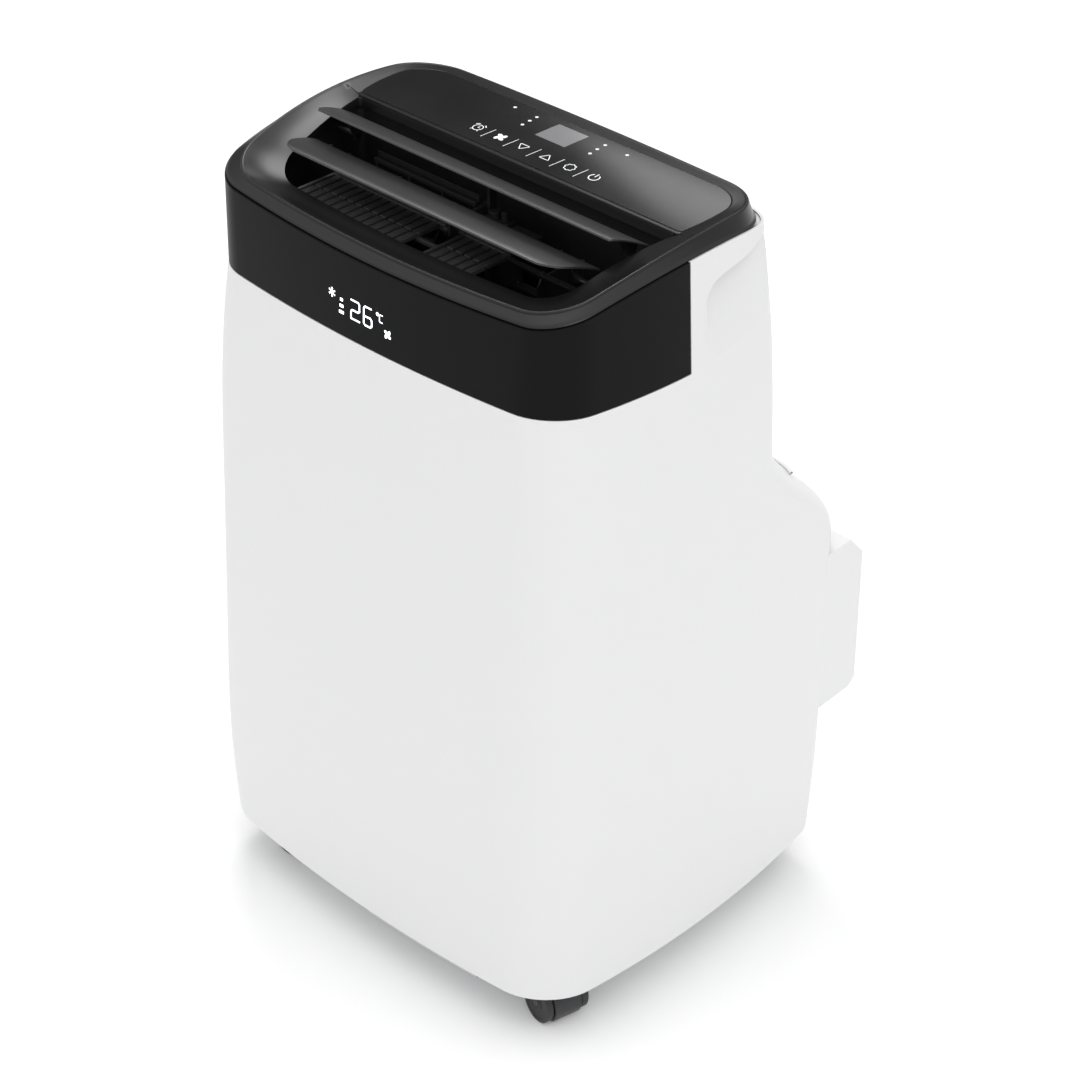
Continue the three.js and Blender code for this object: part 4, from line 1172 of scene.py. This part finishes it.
class AC_OT_intakes(bpy.types.Operator):
    """Build the two rear intake grilles and give their filters a mesh finish"""

    bl_idname = "ac.intakes"
    bl_label = "Intake grilles and filters"

    def execute(self, context):
        count = context.scene.ac_shape.slats
        rows = (("upper", 92.5, *UPPER_INTAKE, count), ("lower", 182.5, *LOWER_INTAKE, max(4, count // 2)))
        for which, y0, z0, z1, slats in rows:
            bm = bmesh.new()
            intake(bm, y0, z0, z1, slats)
            if which == "upper":
                block(bm, -22, 22, y0 + 4, y0 + 8, z1 - 6, z1 - 2.5)
            body, node = f"{which}_intake", f"{which}_intake_grille"
            piece(f"{which}_intake_louvre", bm, "white_shell", body, (node,), bevel=0.4)
            refinish(f"{which}_filter", "filter_mesh")
        return {"FINISHED"}


class AC_OT_fittings(bpy.types.Operator):
    """Build the drain plugs and the cord gland in the back"""

    bl_idname = "ac.fittings"
    bl_label = "Drain plugs and cord gland"

    def execute(self, context):
        for which, (x, z), seat in (("upper", UPPER_DRAIN, 186), ("lower", LOWER_DRAIN, 187)):
            bm = bmesh.new()
            profile = [(0.01, seat - 12), (7, seat - 12), (8.3, seat - 10), (8.3, seat + 2.8)]
            profile += [(11.4, seat + 2.8), (11.9, seat + 3.4), (11.9, seat + 5)]
            profile += [(11, seat + 5.9), (4, seat + 5.2), (0.01, seat + 5.2)]
            turned(bm, profile, 40)
            face_back(bm, x, z)
            piece(f"{which}_drain_stopper", bm, "soft_rubber", f"{which}_plug", (f"{which}_drain_plug",))
        bm = bmesh.new()
        profile = [(4, 170), (9.8, 170), (9.8, 174), (6.8, 174), (6.8, 188), (10.8, 188)]
        profile += [(10.8, 191), (9.6, 192), (6.6, 192.4), (5.4, 197.6), (4, 197.6)]
        turned(bm, profile, 36)
        face_back(bm, *CORD_AT)
        piece("cord_gland_bush", bm, "soft_rubber", stands_for=("cord_gland",))
        return {"FINISHED"}


# ---------------------------------------------------------------- base
CASTERS = {
    "front_right": (167, -145, 78),
    "front_left": (-172, -148, 90),
    "rear_right": (140, 138, 84),
    "rear_left": (-145, 138, 96),
}
AXLE_Z, WHEEL_R, TRAIL, HOOD_FOOT = 19.616, 19.6, 13.0, 3.2


class AC_OT_base(bpy.types.Operator):
    """Build the base pan, the four caster hoods and their wheels"""

    bl_idname = "ac.base"
    bl_label = "Base pan and casters"

    def execute(self, context):
        bm = bmesh.new()
        spec = body_spec(CABINET_BOTTOM)
        levels = ((4.4, 69.5), (4.4, 69.8), (3.4, 69.8), (3.4, 51), (4.4, 50))
        stack(bm, [level(plan(spec, inset), z) for inset, z in levels])
        plate(bm, [tuple(v) for v in plan(spec, 4.4)], lambda x, y: CABINET_BOTTOM, 2.0, (8, 8))
        for x0, x1, y0, y1, low in ((2, 136, -300, -120, 45.2), (150, 300, -90, -20, 46.7)):
            lip = bmesh.new()
            steps = ((30, low), (6.5, low), (4.2, low + 0.8), (3.4, low + 2.6), (3.4, 51.5))
            stack(lip, [level(plan(spec, inset), z) for inset, z in steps])
            carve(lip, block_planes(x0, x1, y0, y1, 0, 100), keep=True)
            mesh = bpy.data.meshes.new("sump_part")
            lip.to_mesh(mesh)
            lip.free()
            bm.from_mesh(mesh)
            bpy.data.meshes.remove(mesh)
        piece("base_tray", bm, "grey_plastic", stands_for=("base_pan",))

        for corner_name, (x, y, heading) in CASTERS.items():
            turn = Matrix.Rotation(math.radians(heading), 4, "Z")
            place = Matrix.Translation(Vector((x, y, 0)) * MM) @ turn
            body, wheels = f"caster_{corner_name}", f"wheels_{corner_name}"
            bm = bmesh.new()
            drum = turned(bm, [(0.01, -14), (20.3, -14), (21.3, -13), (21.3, 13), (20.3, 14), (0.01, 14)], 48)
            bmesh.ops.rotate(bm, verts=drum, matrix=Matrix.Rotation(math.pi / 2, 3, "Y"))
            bmesh.ops.translate(bm, verts=drum, vec=Vector((0, -TRAIL, AXLE_Z)) * MM)
            whole = bm.verts[:] + bm.edges[:] + bm.faces[:]
            foot = dict(plane_co=(0, 0, HOOD_FOOT * MM), plane_no=(0, 0, -1))
            bmesh.ops.bisect_plane(bm, geom=whole, dist=1e-6, clear_outer=True, **foot)
            bmesh.ops.holes_fill(bm, edges=[e for e in bm.edges if e.is_boundary], sides=0)
            slab(bm, [(-13, 24), (4, 24), (8, 28), (9, 33), (7, 38.5), (2, 40.4), (-13, 40.6)], -13.9, 13.9)
            rod(bm, "z", 9, 36, 49.4, (0, 0), 32)
            rod(bm, "x", 4, -22.2, 22.2, (-TRAIL, AXLE_Z), 24)
            bmesh.ops.transform(bm, matrix=place, verts=bm.verts)
            hood = f"caster_hood_{corner_name}"
            piece(f"caster_cover_{corner_name}", bm, "caster_black", body, (hood,), bevel=0.8)
            outer = math.copysign(1, y)
            for which, side in (("outer", outer), ("inner", -outer)):
                bm = bmesh.new()
                r = WHEEL_R
                profile = [(4.5, -3.9), (r - 1.2, -3.9), (r, -2.7), (r, 2.9), (r - 1.0, 3.9), (15.5, 3.9)]
                profile += [(15.0, 3.2), (7.5, 2.6), (6.8, 3.6), (4.5, 3.6)]
                turned(bm, profile, 56)
                if side < 0:
                    bmesh.ops.rotate(bm, verts=bm.verts, matrix=Matrix.Rotation(math.pi, 3, "Y"))
                bmesh.ops.rotate(bm, verts=bm.verts, matrix=Matrix.Rotation(math.pi / 2, 3, "Y"))
                bmesh.ops.translate(bm, verts=bm.verts, vec=Vector((side * 18.4, -TRAIL, AXLE_Z)) * MM)
                bmesh.ops.transform(bm, matrix=place, verts=bm.verts)
                wheel = f"wheel_{which}_{corner_name}"
                piece(f"tyre_{which}_{corner_name}", bm, "wheel_rubber", wheels, (wheel,))
        return {"FINISHED"}


INSIDE = {
    "air_duct": "black_inside",
    "louvre_motor": "grey_plastic",
    "control_board": "board_green",
    "front_display_board": "board_green",
    "exhaust_duct": "grey_plastic",
    "partition_deck": "grey_plastic",
    "compressor": "enamel_black",
    "evaporator_coil": "coil_fins",
    "condenser_coil": "coil_fins",
    "blower_wheel": "black_inside",
    "blower_scroll": "black_inside",
    "blower_motor": "motor_steel",
    "condenser_fan": "black_inside",
    "condenser_scroll": "grey_plastic",
    "condenser_motor": "motor_steel",
    "electronics_box": "grey_plastic",
    "refrigerant_pipe": "copper_tube",
}


class AC_OT_interior(bpy.types.Operator):
    """Give the parts inside the cabinet their finishes"""

    bl_idname = "ac.interior"
    bl_label = "Interior finishes"

    def execute(self, context):
        for node, look in INSIDE.items():
            refinish(node, look)
        return {"FINISHED"}


# ---------------------------------------------------------------- studio
CAMERA_AT = (1611.3, -1608.8, 1827.0)
CAMERA_TURN = (44.823, 32.943)
CAMERA_LENS = 100.95
DARK_SIDE = (-0.62, 0.62, 0.48)


def soft_light(name, at, aim, size, power, tall=None):
    data = bpy.data.lights.new(name, "AREA")
    data.shape = "RECTANGLE"
    data.size = size
    data.size_y = tall or size
    data.energy = power
    lamp = bpy.data.objects.new(name, data)
    lamp.location = at
    lamp.rotation_euler = (Vector(aim) - Vector(at)).to_track_quat("-Z", "Y").to_euler()
    bpy.context.scene.collection.objects.link(lamp)


def surround(scene, strength):
    """A white room that is dark behind the object, so the black top keeps its depth."""
    world = bpy.data.worlds.new("studio")
    world.use_nodes = True
    shades = Shades(world.node_tree)
    way = shades.node("ShaderNodeTexCoord", {}, {}, "Generated")
    back = Vector(DARK_SIDE).normalized()
    toward = shades.node("ShaderNodeVectorMath", {"operation": "DOT_PRODUCT"}, {0: way, 1: back}, "Value")
    height = shades.node("ShaderNodeSeparateXYZ", {}, {"Vector": way}, "Z")
    dark = shades.node(
        "ShaderNodeMapRange",
        {"interpolation_type": "SMOOTHSTEP"},
        {"Value": toward, "From Min": 0.72, "From Max": 0.97, "To Min": 1.0, "To Max": 0.08},
    )
    fall = (height * 1.1 + 0.55) * dark * strength
    background = world.node_tree.nodes["Background"]
    shades.put(background.inputs["Color"], (1, 1, 1, 1))
    shades.put(background.inputs["Strength"], fall)
    scene.world = world


class AC_OT_stage(bpy.types.Operator):
    """Set the pale floor, the soft lights and the camera"""

    bl_idname = "ac.stage"
    bl_label = "Studio"

    def execute(self, context):
        scene = context.scene
        studio = scene.ac_studio
        data = bpy.data.cameras.new("camera")
        data.lens = CAMERA_LENS
        data.sensor_width = 36
        data.clip_end = 50
        camera = bpy.data.objects.new("camera", data)
        camera.location = Vector(CAMERA_AT) * MM
        azimuth, elevation = CAMERA_TURN
        camera.rotation_euler = (math.radians(90 - elevation), 0, math.radians(azimuth))
        scene.collection.objects.link(camera)
        scene.camera = camera

        bm = bmesh.new()
        bmesh.ops.create_grid(bm, x_segments=4, y_segments=4, size=8)
        mesh = bpy.data.meshes.new("studio_floor")
        bm.to_mesh(mesh)
        bm.free()
        floor = bpy.data.objects.new("studio_floor", mesh)
        mesh.materials.append(paper("floor_paper", 0.94, 0.07))
        scene.collection.objects.link(floor)

        surround(scene, studio.world)
        soft_light("key", (2.0, -1.2, 3.0), (0, 0, 0.5), 1.6, studio.key)
        soft_light("panel_glow", (-0.9, 1.45, 1.7), (0.1, 0.02, 0.73), 0.6, studio.glow, 0.5)
        soft_light("overhead", (-1.25, 0.95, 2.9), (0, 0, 0.7), 0.9, studio.overhead)
        scene.view_settings.view_transform = "Standard"
        return {"FINISHED"}


# ---------------------------------------------------------------- panel in the sidebar
STEPS = ("cabinet", "rear_panels", "exhaust", "top_frame", "touch_panel", "display", "louvres", "outlet")
STEPS += ("intakes", "fittings", "base", "interior", "stage")


class AC_PT_panel(bpy.types.Panel):
    """Lists the settings and the pieces"""

    bl_idname = "AC_PT_panel"
    bl_label = "Air conditioner"
    bl_space_type = "VIEW_3D"
    bl_region_type = "UI"
    bl_category = "Air conditioner"

    def draw(self, context):
        column = self.layout.column()
        for group in (context.scene.ac_shape, context.scene.ac_finishes, context.scene.ac_studio):
            for key in group.bl_rna.properties.keys():
                if key not in ("rna_type", "name"):
                    column.prop(group, key)
        for step in STEPS:
            column.operator(f"ac.{step}")


CLASSES = (
    FinishSettings,
    ShapeSettings,
    StudioSettings,
    AC_OT_cabinet,
    AC_OT_rear_panels,
    AC_OT_exhaust,
    AC_OT_top_frame,
    AC_OT_touch_panel,
    AC_OT_display,
    AC_OT_louvres,
    AC_OT_outlet,
    AC_OT_intakes,
    AC_OT_fittings,
    AC_OT_base,
    AC_OT_interior,
    AC_OT_stage,
    AC_PT_panel,
)
GROUPS = {"ac_finishes": FinishSettings, "ac_shape": ShapeSettings, "ac_studio": StudioSettings}


def register():
    for cls in CLASSES:
        bpy.utils.register_class(cls)
    for name, group in GROUPS.items():
        setattr(bpy.types.Scene, name, bpy.props.PointerProperty(type=group))


def unregister():
    for name in GROUPS:
        delattr(bpy.types.Scene, name)
    for cls in reversed(CLASSES):
        bpy.utils.unregister_class(cls)


def main():
    register()
    for step in STEPS:
        getattr(bpy.ops.ac, step)()


if __name__ == "__main__":
    main()
